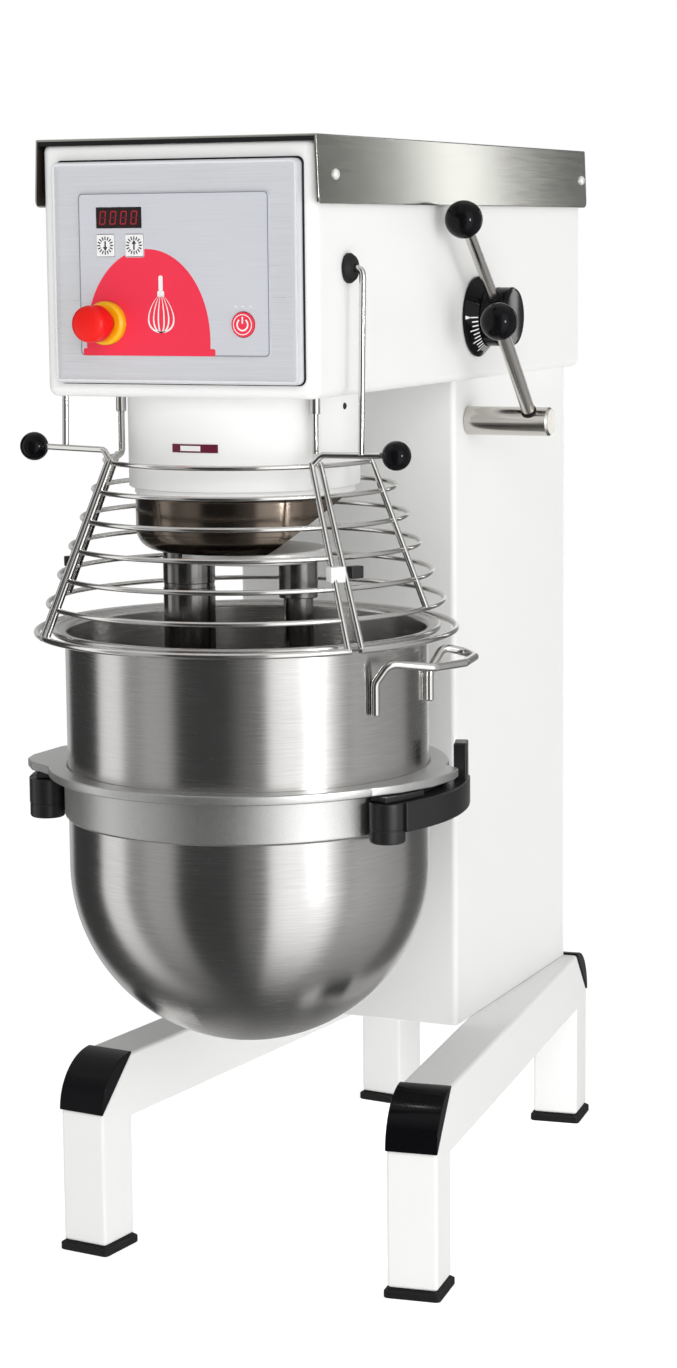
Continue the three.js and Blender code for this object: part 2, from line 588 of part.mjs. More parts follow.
function bowlYoke() {
  const { inner, outer, bottom, top } = YOKE;
  const arms = ringSector(inner, outer, 68, 292, bottom, top, 22);
  const bracket = box(-40, 40, 226, 330, 562, top);
  const bowlRoom = post(inner, 0, 0, 500, 700, 36);
  const barrels = [-1, 1].map((side) => {
    const [x, y] = around(PIVOT.radius, side * PIVOT.angle);
    return post(PIVOT.barrel + 0.8, x, y, 569, 700, 24);
  });
  const lugs = [-1, 1].flatMap((side) => {
    const [x, y] = around(PIVOT.radius, side * PIVOT.angle);
    const [from, to] = side > 0 ? [PIVOT.angle - 3, 78] : [-78, -PIVOT.angle + 3];
    return [
      ringSector(inner + 3, PIVOT.radius + 12, from, to, LATCH.top + 0.6, top, 3),
      post(PIVOT.pin, x, y, 592, top - 1, 16),
    ];
  });
  let solid = toSolid(arms).add(toSolid(bracket)).subtract(toSolid(bowlRoom));
  for (const barrel of barrels) solid = solid.subtract(toSolid(barrel));
  for (const lug of lugs) solid = solid.add(toSolid(lug));
  add('bowl_yoke', toGeometry(solid), BLACK_PLASTIC);
}

function latch(name, side) {
  const [x, y] = around(PIVOT.radius, side * PIVOT.angle);
  const barrel = post(PIVOT.barrel, x, y, LATCH.bottom, LATCH.top, 24);
  const sweep = (from, to) => (side > 0 ? [from, to] : [-to, -from]);
  const { outer, end, armBottom, top, fingerTop } = LATCH;
  const arm = ringSector(YOKE.outer + 2, outer, ...sweep(PIVOT.angle + 2, end), armBottom, top, 8);
  const finger = ringSector(248, outer - 2, ...sweep(end - 8, end - 1), 600, fingerTop, 2);
  const bore = post(PIVOT.pin + 0.6, x, y, 588, top + 1, 16);
  add(name, cut(join(barrel, arm, finger), bore), BLACK_PLASTIC);
}

function liftTrain() {
  const sectorRadius = SECTOR_TEETH * LIFT_MODULE / 2;
  const idlerRadius = IDLER_TEETH * LIFT_MODULE / 2;
  const idlerY = LIFT.y + sectorRadius + idlerRadius;
  const rackY = idlerY + idlerRadius;
  const pitch = Math.PI * LIFT_MODULE;

  const count = 12;
  const toothStep = TURN / SECTOR_TEETH;
  const teeth = gearOutline(SECTOR_TEETH, LIFT_MODULE, -(count - 1) * toothStep, { count });
  const hubSide = arc(0, 0, 24, 60, 210, 8);
  const sector = profile([...teeth, ...hubSide], -9, 9).translate(0, LIFT.y, LIFT.z);
  const shaftBore = rod(LIFT_THIN + GAP, [-20, LIFT.y, LIFT.z], [20, LIFT.y, LIFT.z]);
  add('lift_sector', cut(sector, shaftBore), GEAR_STEEL);

  const idlerPhase = Math.PI + Math.PI / IDLER_TEETH;
  const idlerOutline = gearOutline(IDLER_TEETH, LIFT_MODULE, idlerPhase);
  const wheel = profile(idlerOutline, -9, 9).translate(0, idlerY, LIFT.z);
  const reach = COLUMN.x - COLUMN.wall - 0.5;
  add('lift_idler', join(wheel, rod(8, [-reach, idlerY, LIFT.z], [reach, idlerY, LIFT.z], 16)), GEAR_STEEL);

  // the rack's teeth cover only the stretch that passes the idler
  const rackTop = LIFT.z + 152;
  const face = rackY + 1.1 * LIFT_MODULE;
  const tip = rackY - 0.8 * LIFT_MODULE;
  const edge = [[face + 12, rackTop], [face, rackTop]];
  for (let i = 11; i >= -1; i -= 1) {
    const z = LIFT.z + i * pitch;
    edge.push([face, z + 0.25 * pitch], [tip, z + 0.11 * pitch], [tip, z - 0.11 * pitch],
      [face, z - 0.25 * pitch]);
  }
  edge.push([face, 575], [face + 12, 575]);
  const rack = profile(edge, -9, 9);
  const arm = box(-30, 30, 330 + GAP, face + 12, 575, 612);
  add('lift_carriage', join(rack, arm), GEAR_STEEL);
  add('lift_guide', box(-22, 22, face + 13, face + 27, 260, 1070), GEAR_STEEL);
}

// ---------------------------------------------------------------- levers

const alongX = (x, y, z, length, degrees) =>
  [x, y + length * Math.cos(rad(degrees)), z + length * Math.sin(rad(degrees))];

function knobAt(name, centre, radius) {
  const sphere = new THREE.SphereGeometry(radius, 16, 9);
  add(name, sphere.translate(...centre), BLACK_PLASTIC);
}

// A lever's rod ends just short of its knob's surface.
function leverRod(name, x, y, z, start, degrees, radius) {
  const from = alongX(x, y, z, start, degrees);
  const to = alongX(x, y, z, LEVER_LENGTH - KNOB_RADIUS - GAP, degrees);
  add(name, rod(radius, from, to, 16), POLISHED_STEEL);
}

function liftLever() {
  const { y, z, shaft, shaftEnd, leverX, leverAngle } = LIFT;
  const thick = rod(shaft, [COLUMN.x + GAP, y, z], [shaftEnd, y, z], 28);
  const thin = rod(LIFT_THIN, [-COLUMN.x + COLUMN.wall + 1, y, z], [COLUMN.x + 1, y, z], 20);
  add('lift_shaft', join(thick, thin), POLISHED_STEEL);
  leverRod('lift_lever_rod', leverX, y, z, shaft + 0.6, leverAngle, LIFT.rod);
  knobAt('lift_knob', alongX(leverX, y, z, LEVER_LENGTH, leverAngle), KNOB_RADIUS);
}

function speedLever() {
  const { y, z, dial, hub, hubEnd, leverX, leverAngle } = SPEED;
  const x0 = HEAD.x + GAP;
  const bore = SPEED_SHAFT + 0.6;
  const cone = closed([[bore, x0], [dial, x0], [dial, x0 + 4], [hub + 2, x0 + 17], [bore, x0 + 17]]);
  add('speed_dial', turnedX(cone, 24, y, z), BLACK_PLASTIC);
  const hubStart = x0 + 17 + GAP;
  const grip = [[0, HEAD.x - 25], [SPEED_SHAFT, HEAD.x - 25], [SPEED_SHAFT, hubStart], [hub, hubStart],
    [hub, hubEnd - 3],
    [hub - 3, hubEnd], [0, hubEnd]];
  add('speed_hub', turnedX(grip, 24, y, z), BLACK_PLASTIC);
  leverRod('speed_lever_rod', leverX, y, z, hub + 0.6, leverAngle, SPEED.rod);
  knobAt('speed_knob', alongX(leverX, y, z, LEVER_LENGTH, leverAngle), KNOB_RADIUS);
}

// ---------------------------------------------------------------- bowl guard

const ringRadius = (i) => GUARD.topRadius + i * GUARD.growth;
const ringZ = (i) => GUARD.topZ - i * GUARD.drop;
const LAST = GUARD.rings - 1;
const ringWire = (i) => (i === LAST ? GUARD.wire + 0.8 : GUARD.wire);

// A straight bar down the rings, as far as the one given.
function rib(azimuth, last = LAST) {
  const top = around(ringRadius(0), azimuth, ringZ(0) + 4);
  return rod(GUARD.bar, top, around(ringRadius(last), azimuth, ringZ(last)), 6);
}

function ringArcs(from, to, first = 0) {
  const arcs = [];
  for (let i = first; i < GUARD.rings; i += 1) {
    arcs.push(wireArc(ringRadius(i), ringZ(i), from - 0.8, to + 0.8, ringWire(i)));
  }
  return arcs;
}

function guardFront() {
  const wires = [...ringArcs(DOOR.left, DOOR.right), rib(DOOR.left), rib(DOOR.right)];
  for (const [where, side] of [['left', -1], ['right', 1]]) {
    const [knobX, knobY, knobZ] = GUARD_KNOB[where];
    const [ribX, ribY, ribZ] = around(ringRadius(0), DOOR[where], ringZ(0));
    const handle = [[knobX - side * (GUARD_KNOB.radius + 0.5), knobY - 2.5, knobZ],
      [ribX + side * 12, ribY + 3, knobZ], [ribX, ribY, ribZ]];
    wires.push(wireThrough(handle, GUARD.bar, 8));
    const { x, y, z } = GUARD_PIVOT;
    const hanger = [[HEAD.x - 8, y, z], [x - 8, y, z], [x, y, z - 8], [x, y - 3, z - 60],
      [x, y - 8.5, knobZ]];
    wires.push(wireThrough(hanger.map(([px, py, pz]) => [side * px, py, pz]), GUARD.wire + 0.8, 12));
  }
  add('guard_front', join(...wires), POLISHED_STEEL);
  for (const [where, side] of [['left', -1], ['right', 1]]) {
    knobAt(`guard_knob_${where}`, GUARD_KNOB[where], GUARD_KNOB.radius);
    const bore = GUARD.wire + 1.5;
    const bush = closed([[bore, HEAD.x + GAP], [17, HEAD.x + GAP], [17, HEAD.x + 5],
      [13, HEAD.x + 10], [bore, HEAD.x + 10]]);
    const geometry = turnedX(bush, 16, GUARD_PIVOT.y, GUARD_PIVOT.z);
    if (side < 0) geometry.rotateZ(Math.PI).translate(0, 2 * GUARD_PIVOT.y, 0);
    add(`guard_bush_${where}`, geometry, BLACK_RUBBER);
  }
}

function guardRear() {
  const shortRings = [CAGE.side, 154];               // where the two top rings stop each side
  const wires = ringArcs(CAGE.right, 360 + CAGE.left, shortRings.length);
  shortRings.forEach((end, i) => {
    wires.push(wireArc(ringRadius(i), ringZ(i), CAGE.right - 0.8, end + 0.8, ringWire(i)));
    wires.push(wireArc(ringRadius(i), ringZ(i), 359.2 - end, 360.8 + CAGE.left, ringWire(i)));
  });
  const hang = { x: 125, y: -73, top: HEAD.bottom - GAP };
  for (const [where, side] of [['left', -1], ['right', 1]]) {
    wires.push(rib(CAGE[where]), rib(side * CAGE.side, LAST - 1));
    wires.push(post(6, side * hang.x, hang.y, hang.top - 22, hang.top, 10));
    const drop = [[side * hang.x, hang.y, hang.top - 20], [side * hang.x, hang.y, 1008],
      around(ringRadius(0), CAGE[where], ringZ(0))];
    wires.push(wireThrough(drop, GUARD.wire + 0.8, 8));
  }
  add('guard_rear', join(...wires), POLISHED_STEEL);
}

// ---------------------------------------------------------------- assembly

base();
column();
headHousing();
topCover();
controlPanel();
buttons();
gearbox();
planetHead();
scraper();
toolDrive();
beater();
drive();
bowl();
bowlYoke();
latch('latch_left', -1);
latch('latch_right', 1);
liftTrain();
liftLever();
speedLever();
guardFront();
guardRear();

machine.updateMatrixWorld(true);
const extent = new THREE.Box3().setFromObject(machine, true);
const middle = extent.getCenter(new THREE.Vector3());
machine.position.set(-middle.x, -middle.y, 0);
machine.updateMatrixWorld(true);

export default machine;
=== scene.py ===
from math import asin, copysign, cos, degrees, pi, radians, sin, tan

import bmesh
import bpy
from mathutils import Matrix, Vector


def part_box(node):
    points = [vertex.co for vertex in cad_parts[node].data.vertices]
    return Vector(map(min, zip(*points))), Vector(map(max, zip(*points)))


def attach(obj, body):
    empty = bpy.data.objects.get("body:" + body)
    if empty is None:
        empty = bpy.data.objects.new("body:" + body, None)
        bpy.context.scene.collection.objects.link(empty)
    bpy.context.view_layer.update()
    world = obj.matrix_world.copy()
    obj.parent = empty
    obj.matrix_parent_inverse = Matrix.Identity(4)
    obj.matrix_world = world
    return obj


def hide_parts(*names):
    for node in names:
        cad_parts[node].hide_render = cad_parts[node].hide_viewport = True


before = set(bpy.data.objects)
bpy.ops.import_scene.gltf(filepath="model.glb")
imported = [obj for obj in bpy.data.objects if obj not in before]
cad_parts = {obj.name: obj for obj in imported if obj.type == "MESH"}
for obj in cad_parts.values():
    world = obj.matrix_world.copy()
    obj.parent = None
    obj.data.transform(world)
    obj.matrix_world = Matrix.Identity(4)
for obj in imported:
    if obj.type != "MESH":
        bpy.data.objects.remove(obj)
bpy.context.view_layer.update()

# Everything below is drawn in millimetres about the bowl's axis: x to the lever side, y to the
# back, z up from the floor. place() turns that into the row frame's metres.
BOWL_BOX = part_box("bowl")
AXIS = (BOWL_BOX[0] + BOWL_BOX[1]) / 2
FULL_TURN = 2 * pi
SIDES = (("left", -1), ("right", 1))


def place(point):
    x, y, z = point
    return Vector((AXIS.x + x / 1000, AXIS.y + y / 1000, z / 1000))


def around(radius, azimuth, z=0.0):
    """A place at an azimuth about the bowl's axis: 0 degrees is the front, +90 the lever side."""
    angle = radians(azimuth)
    return (radius * sin(angle), -radius * cos(angle), z)


# ---- shapes: (points, faces)

def moved(shape, change):
    return [change(*point) for point in shape[0]], shape[1]


def shifted(shape, dx=0.0, dy=0.0, dz=0.0):
    return moved(shape, lambda x, y, z: (x + dx, y + dy, z + dz))


def merged(*shapes):
    points, faces = [], []
    for part_points, part_faces in shapes:
        first = len(points)
        points += part_points
        faces += [[first + i for i in face] for face in part_faces]
    return points, faces


def lofted(rings, caps=True, ring=False):
    """Skin over rings with equal numbers of points."""
    count = len(rings[0])
    points = [point for one in rings for point in one]
    faces = []
    for i in range(len(rings) if ring else len(rings) - 1):
        low, high = i * count, (i + 1) % len(rings) * count
        for k in range(count):
            n = (k + 1) % count
            faces.append([low + k, low + n, high + n, high + k])
    if caps and not ring:
        faces.append(list(range(count))[::-1])
        faces.append(list(range(len(points) - count, len(points))))
    return points, faces


def turned(outline, sides=96, loop=True):
    """An outline of (radius, height) points turned about the Z axis; loop joins its ends."""
    points, rings = [], []
    for radius, height in outline:
        if radius < 1e-6:
            rings.append([len(points)] * sides)
            points.append((0.0, 0.0, height))
            continue
        rings.append(list(range(len(points), len(points) + sides)))
        angles = [FULL_TURN * k / sides for k in range(sides)]
        points += [(radius * cos(a), radius * sin(a), height) for a in angles]
    pairs = list(zip(rings, rings[1:])) + ([(rings[-1], rings[0])] if loop else [])
    faces = []
    for low, high in pairs:
        for k in range(sides):
            n = (k + 1) % sides
            face = list(dict.fromkeys([low[k], low[n], high[n], high[k]]))
            if len(face) > 2:
                faces.append(face)
    return points, faces


def spun(outline, sides=96):
    """A solid turned about the Z axis, from an outline that begins and ends on it."""
    return turned(outline, sides, loop=False)


def cylinder(radius, z0, z1, sides=48):
    return spun([(0, z0), (radius, z0), (radius, z1), (0, z1)], sides)


def to_front(shape, x, y, z):
    """Lays a shape drawn along Z so that Z points out of the machine's front."""
    return moved(shape, lambda u, v, w: (x + u, y - w, z + v))


def to_side(shape, x, y, z, side=1):
    """Lays a shape drawn along Z so that Z points out of the machine's side."""
    return moved(shape, lambda u, v, w: (side * (x + w), y + u * side, z + v))


def arc(x, y, radius, start, end, steps=6):
    angles = [radians(start + (end - start) * i / steps) for i in range(steps + 1)]
    return [(x + radius * cos(a), y + radius * sin(a)) for a in angles]


def rounded(left, right, bottom, top, radius, steps=6):
    return [
        *arc(right - radius, bottom + radius, radius, -90, 0, steps),
        *arc(right - radius, top - radius, radius, 0, 90, steps),
        *arc(left + radius, top - radius, radius, 90, 180, steps),
        *arc(left + radius, bottom + radius, radius, 180, 270, steps),
    ]


def upright(outline, *levels):
    """An outline of (x, y) points carried up through levels."""
    return lofted([[(x, y, z) for x, y in outline] for z in levels])


def crosswise(outline, *stations):
    """An outline of (y, z) points carried along x."""
    return lofted([[(x, y, z) for y, z in outline] for x in stations])


def pointing(corners, angle):
    """(outward, sideways) points turned to an angle in radians."""
    cosine, sine = cos(angle), sin(angle)
    return [(out * cosine - aside * sine, out * sine + aside * cosine) for out, aside in corners]


def flat(left, right, bottom, top):
    return [(left, bottom), (right, bottom), (right, top), (left, top)]


def forward(outline, *stations):
    """An outline of (x, z) points carried along y."""
    return lofted([[(x, y, z) for x, z in outline] for y in stations])


def block(x0, x1, y0, y1, z0, z1):
    return upright(flat(x0, x1, y0, y1), z0, z1)


def softened(shape, width, segments=3, limit=25):
    """The shape with its sharp edges rounded over."""
    mesh = bmesh.new()
    corners = [mesh.verts.new(point) for point in shape[0]]
    for face in shape[1]:
        mesh.faces.new([corners[i] for i in face])
    bmesh.ops.recalc_face_normals(mesh, faces=mesh.faces)
    sharp = [e for e in mesh.edges if len(e.link_faces) == 2 and e.calc_face_angle() > radians(limit)]
    bmesh.ops.bevel(mesh, geom=sharp, offset=width, segments=segments, profile=0.5, affect="EDGES",
                    clamp_overlap=True)
    mesh.verts.index_update()
    result = [tuple(v.co) for v in mesh.verts], [[v.index for v in f.verts] for f in mesh.faces]
    mesh.free()
    return result


def bent(corners, radius, steps=6):
    """A line through corners, with each corner bent to a radius."""
    corners = [Vector(c) for c in corners]
    line = [corners[0]]
    for before, corner, after in zip(corners, corners[1:], corners[2:]):
        back, on = before - corner, after - corner
        half = back.angle(on) / 2
        reach = min(radius / tan(half), back.length * 0.49, on.length * 0.49)
        start, end = corner + back.normalized() * reach, corner + on.normalized() * reach
        for i in range(steps + 1):
            t = i / steps
            line.append(start * (1 - t) ** 2 + corner * 2 * t * (1 - t) + end * t ** 2)
    return line + [corners[-1]]


def wire(path, radius, sides=14, ring=False):
    """A round wire along a path, with eased ends."""
    path = [Vector(p) for p in path]
    count = len(path)
    tangents = []
    for i in range(count):
        before = path[i - 1] if ring or i else path[0]
        after = path[(i + 1) % count] if ring or i < count - 1 else path[-1]
        tangents.append((after - before).normalized())
    stations = [(p, t, 1.0) for p, t in zip(path, tangents)]
    if not ring:
        first, last = tangents[0], tangents[-1]
        stations = [
            (path[0], first, 0.72), (path[0] + first * radius * 0.28, first, 1.0), *stations[1:-1],
            (path[-1] - last * radius * 0.28, last, 1.0), (path[-1], last, 0.72),
        ]
    normal = tangents[0].orthogonal().normalized()
    rings = []
    for point, tangent, scale in stations:
        normal = (normal - tangent * normal.dot(tangent)).normalized()
        side = tangent.cross(normal)
        rings.append([
            tuple(point + (normal * cos(a) + side * sin(a)) * radius * scale)
            for a in (FULL_TURN * k / sides for k in range(sides))
        ])
    return lofted(rings, ring=ring)


def ring_line(radius, z, start, end, step=3.0):
    count = max(2, round(abs(end - start) / step))
    return [around(radius, start + (end - start) * i / count, z) for i in range(count + 1)]


# ---- objects

def add_object(name, data):
    obj = bpy.data.objects.new(name, data)
    bpy.context.scene.collection.objects.link(obj)
    return obj


def mesh_of(name, shape):
    mesh = bpy.data.meshes.new(name)
    mesh.from_pydata([place(point) for point in shape[0]], [], shape[1])
    cleaned = bmesh.new()
    cleaned.from_mesh(mesh)
    bmesh.ops.recalc_face_normals(cleaned, faces=cleaned.faces)
    cleaned.to_mesh(mesh)
    cleaned.free()
    return mesh


def carve(mesh, name, cutters):
    """The mesh less the cutters, by boolean modifiers that are evaluated here."""
    body = add_object(name + "_uncut", mesh)
    tools = [add_object(f"{name}_cutter_{i}", mesh_of("cutter", cutter)) for i, cutter in enumerate(cutters)]
    for tool in tools:
        modifier = body.modifiers.new("cut", "BOOLEAN")
        modifier.operation = "DIFFERENCE"
        modifier.solver = "EXACT"
        modifier.object = tool
    graph = bpy.context.evaluated_depsgraph_get()
    result = bpy.data.meshes.new_from_object(body.evaluated_get(graph))
    for used in [body, *tools]:
        bpy.data.objects.remove(used)
    return result


def piece(name, shape, material, nodes=(), body="machine", cut=(), sharp=32):
    """A shape as an object that rides on a body and stands for CAD nodes."""
    mesh = mesh_of(name, shape)
    if cut:
        mesh = carve(mesh, name, cut)
    mesh.materials.clear()
    mesh.materials.append(material)
    mesh.shade_smooth()
    mesh.set_sharp_from_angle(angle=radians(sharp))
    obj = add_object(name, mesh)
    weighted = obj.modifiers.new("weighted", "WEIGHTED_NORMAL")
    weighted.keep_sharp = True
    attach(obj, body)
    if nodes:
        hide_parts(*([nodes] if isinstance(nodes, str) else nodes))
    return obj


# ---- materials

def add_node(tree, kind, inputs=(), **settings):
    """A node with its settings made, and its inputs filled."""
    node = tree.nodes.new(kind)
    for key, value in settings.items():
        setattr(node, key, value)
    fill(tree, node, dict(inputs))
    return node


def fill(tree, node, inputs):
    """Sets a node's inputs to values, or links them to the outputs that are given for them."""
    for key, value in inputs.items():
        if isinstance(value, bpy.types.NodeSocket):
            tree.links.new(value, node.inputs[key])
        else:
            node.inputs[key].default_value = value


def computed(tree, operation, *values):
    return add_node(tree, "ShaderNodeMath", enumerate(values), operation=operation).outputs[0]


def noise(tree, where, scale, detail):
    inputs = {"Vector": where, "Scale": scale, "Detail": detail}
    return add_node(tree, "ShaderNodeTexNoise", inputs).outputs["Fac"]


def blend(tree, share, first, second):
    inputs = {"Factor": share, "A": first, "B": second}
    return add_node(tree, "ShaderNodeMix", inputs, data_type="RGBA").outputs["Result"]


def object_place(tree, stretch):
    """The point on the surface, in metres, stretched for a grain that runs one way."""
    where = add_node(tree, "ShaderNodeTexCoord").outputs["Object"]
    return add_node(tree, "ShaderNodeMapping", {"Vector": where, "Scale": stretch}).outputs["Vector"]


def polar_place(tree, stretch):
    """The same about the bowl's axis, as (angle, radius, height)."""
    where = add_node(tree, "ShaderNodeTexCoord").outputs["Object"]
    centre = {"Vector": where, "Location": (-AXIS.x, -AXIS.y, 0)}
    centred = add_node(tree, "ShaderNodeMapping", centre).outputs["Vector"]
    split = add_node(tree, "ShaderNodeSeparateXYZ", {"Vector": centred}).outputs
    angle = computed(tree, "ARCTAN2", split["Y"], split["X"])
    level = add_node(tree, "ShaderNodeVectorMath", {0: centred, 1: (1, 1, 0)}, operation="MULTIPLY")
    length = add_node(tree, "ShaderNodeVectorMath", {0: level.outputs[0]}, operation="LENGTH")
    radius = length.outputs["Value"]
    joined = add_node(tree, "ShaderNodeCombineXYZ", {"X": angle, "Y": radius, "Z": split["Z"]}).outputs[0]
    return add_node(tree, "ShaderNodeMapping", {"Vector": joined, "Scale": stretch}).outputs["Vector"]


def span(tree, source, low, high):
    """The middle of a noise's range, carried over to low..high."""
    inputs = {"Value": source, "From Min": 0.3, "From Max": 0.7, "To Min": low, "To Max": high}
    return add_node(tree, "ShaderNodeMapRange", inputs).outputs["Result"]


def paint(name, color, roughness, metallic, grain, tone, spread, relief, cloud=5.0, specular=0.5,
          polar=False, anisotropic=0.0, turn=0.0):
    """A finish whose colour, roughness and relief vary with a grain and a slower cloud."""
    material = bpy.data.materials.new(name)
    material.use_nodes = True
    tree = material.node_tree
    stretch = grain if isinstance(grain, tuple) else (grain, grain, grain)
    where = (polar_place if polar else object_place)(tree, stretch)
    fine = noise(tree, where, 1.0, 4.0)
    slow = noise(tree, object_place(tree, (1, 1, 1)), cloud, 2.0)
    both = computed(tree, "MULTIPLY_ADD", fine, 0.6, computed(tree, "MULTIPLY", slow, 0.4))
    dark, light = ((*[min(1.0, c * (1 + change)) for c in color], 1) for change in (-tone, tone))
    bump = add_node(tree, "ShaderNodeBump", {"Strength": 1.0, "Distance": relief / 1000, "Height": fine})
    inputs = {
        "Base Color": blend(tree, span(tree, both, 0, 1), dark, light),
        "Roughness": span(tree, both, max(0.02, roughness - spread), roughness + spread),
        "Normal": bump.outputs["Normal"],
        "Metallic": metallic,
        "Specular IOR Level": specular,
        "Anisotropic": anisotropic,
        "Anisotropic Rotation": turn,
    }
    if anisotropic:
        inputs["Tangent"] = add_node(tree, "ShaderNodeTangent", direction_type="RADIAL", axis="Z").outputs[0]
    fill(tree, tree.nodes["Principled BSDF"], inputs)
    return material


# name, colour, roughness, metallic, grain (its frequency, or one along each axis), tone, spread,
# relief in mm; tone and spread say how far the colour and the roughness wander
ENAMEL = paint("white_enamel", (0.87, 0.87, 0.86), 0.42, 0, 700, 0.012, 0.05, 0.012, cloud=3, specular=0.28)
COVER_STEEL = paint("cover_brushed", (0.52, 0.52, 0.475), 0.17, 1, (900, 12, 900), 0.10, 0.03, 0.002,
                    cloud=3)
PANEL_STEEL = paint("panel_brushed", (0.76, 0.775, 0.805), 0.33, 0.35, (14, 900, 900), 0.07, 0.07, 0.004,
                    cloud=4)
FILM = paint("control_film", (0.655, 0.67, 0.715), 0.38, 0.15, (14, 900, 900), 0.05, 0.05, 0.002, cloud=6)
BOWL_STEEL = paint("bowl_spun", (0.58, 0.57, 0.56), 0.24, 1, (6, 1400, 1400), 0.12, 0.05, 0.004,
                   anisotropic=0.75, turn=0.25, polar=True)
BRIGHT_STEEL = paint("polished_wire", (0.72, 0.71, 0.69), 0.14, 1, 500, 0.05, 0.04, 0.003)
ROD_STEEL = paint("brushed_rod", (0.60, 0.58, 0.54), 0.20, 1, (15, 700, 700), 0.08, 0.04, 0.002)
LEVER_STEEL = paint("polished_lever", (0.62, 0.60, 0.57), 0.18, 1, 600, 0.05, 0.04, 0.002)
HEAD_STEEL = paint("polished_head", (0.16, 0.13, 0.105), 0.16, 1, (8, 600, 600), 0.10, 0.04, 0.003,
                   polar=True)
SPINDLE_STEEL = paint("spindle_steel", (0.22, 0.215, 0.21), 0.13, 1, 500, 0.06, 0.04, 0.002)
PLATE_STEEL = paint("plate_satin", (0.86, 0.86, 0.84), 0.34, 0.35, 420, 0.05, 0.05, 0.006)
# a lighter, glossier steel that paints the highlight along the control panel's rounded edge
PANEL_HIGHLIGHT = paint("panel_painted_highlight", (0.93, 0.94, 0.96), 0.22, 0.3, 300, 0.03, 0.05, 0.002)
# near-black for inside the cover's side flanges: painted shade and painted dark reflection
COVER_SHADE = paint("cover_inner_shade", (0.030, 0.022, 0.017), 0.45, 0.4, 600, 0.2, 0.08, 0.01)
CAST = paint("cast_satin", (0.66, 0.66, 0.65), 0.42, 1, 420, 0.08, 0.06, 0.02, cloud=9)
BEATER = paint("cast_beater", (0.50, 0.50, 0.49), 0.48, 1, 420, 0.08, 0.06, 0.02, cloud=9)
BLACK_GLOSS = paint("black_gloss", (0.004, 0.004, 0.005), 0.09, 0, 300, 0.3, 0.03, 0.002, specular=0.14)
BLACK_CAST = paint("black_cast", (0.011, 0.011, 0.012), 0.36, 0, 520, 0.25, 0.08, 0.02)
# black rubber for the feet, rod seals and grommets. The same near-black also paints shade in the strip under
# the cover's front edge and in the outline round the control panel.
BLACK_RUBBER_AND_SHADE = paint("black_rubber", (0.010, 0.010, 0.010), 0.6, 0, 600, 0.3, 0.1, 0.03, specular=0.3)
CORAL = paint("coral_print", (0.86, 0.036, 0.078), 0.42, 0, 500, 0.03, 0.05, 0.002, specular=0.25)
RED = paint("stop_red", (0.82, 0.010, 0.007), 0.36, 0, 400, 0.04, 0.05, 0.004, specular=0.25)
YELLOW = paint("stop_yellow", (0.90, 0.48, 0.004), 0.36, 0, 400, 0.04, 0.05, 0.004)
WHITE_PRINT = paint("white_print", (0.88, 0.88, 0.88), 0.45, 0, 500, 0.02, 0.05, 0.001)
DARK_PRINT = paint("dark_print", (0.03, 0.035, 0.045), 0.5, 0, 500, 0.1, 0.05, 0.001)
GREY_PRINT = paint("grey_print", (0.22, 0.23, 0.26), 0.5, 0, 500, 0.1, 0.05, 0.001)
DISPLAY = paint("display_glass", (0.012, 0.003, 0.004), 0.12, 0, 300, 0.2, 0.05, 0.001)
DIGIT = paint("digit_red", (0.36, 0.010, 0.02), 0.4, 0, 300, 0.1, 0.05, 0.001)
MAROON = paint("maroon_print", (0.13, 0.004, 0.03), 0.35, 0, 500, 0.08, 0.05, 0.001)
GEAR = paint("gear_steel", (0.36, 0.37, 0.38), 0.38, 1, 250, 0.1, 0.05, 0.02)
MOTOR = paint("motor_grey", (0.16, 0.18, 0.20), 0.5, 0.3, 350, 0.1, 0.05, 0.03)
BOARD = paint("board_green", (0.03, 0.15, 0.06), 0.5, 0, (200, 900, 200), 0.2, 0.05, 0.02)


def repaint(material, *names):
    """CAD nodes that stay keep their shapes and take a procedural finish."""
    for name in names:
        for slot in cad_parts[name].material_slots:
            slot.material = material


# ---- base

LEG, LEG_HALF, RAIL_LENGTH, RAIL_TOP, RAIL_UNDER = 65, 31.5, 819, 246.6, 164.6
SPLAY = radians(6.6)
FOOT = (221.8, -32.4)


def on_side(shape, side):
    """From a rail's own place (across, along, up) to the machine's."""
    c, s = cos(side * SPLAY), sin(side * SPLAY)
    return moved(shape, lambda x, y, z: (x * c - y * s + side * FOOT[0], x * s + y * c + FOOT[1], z))


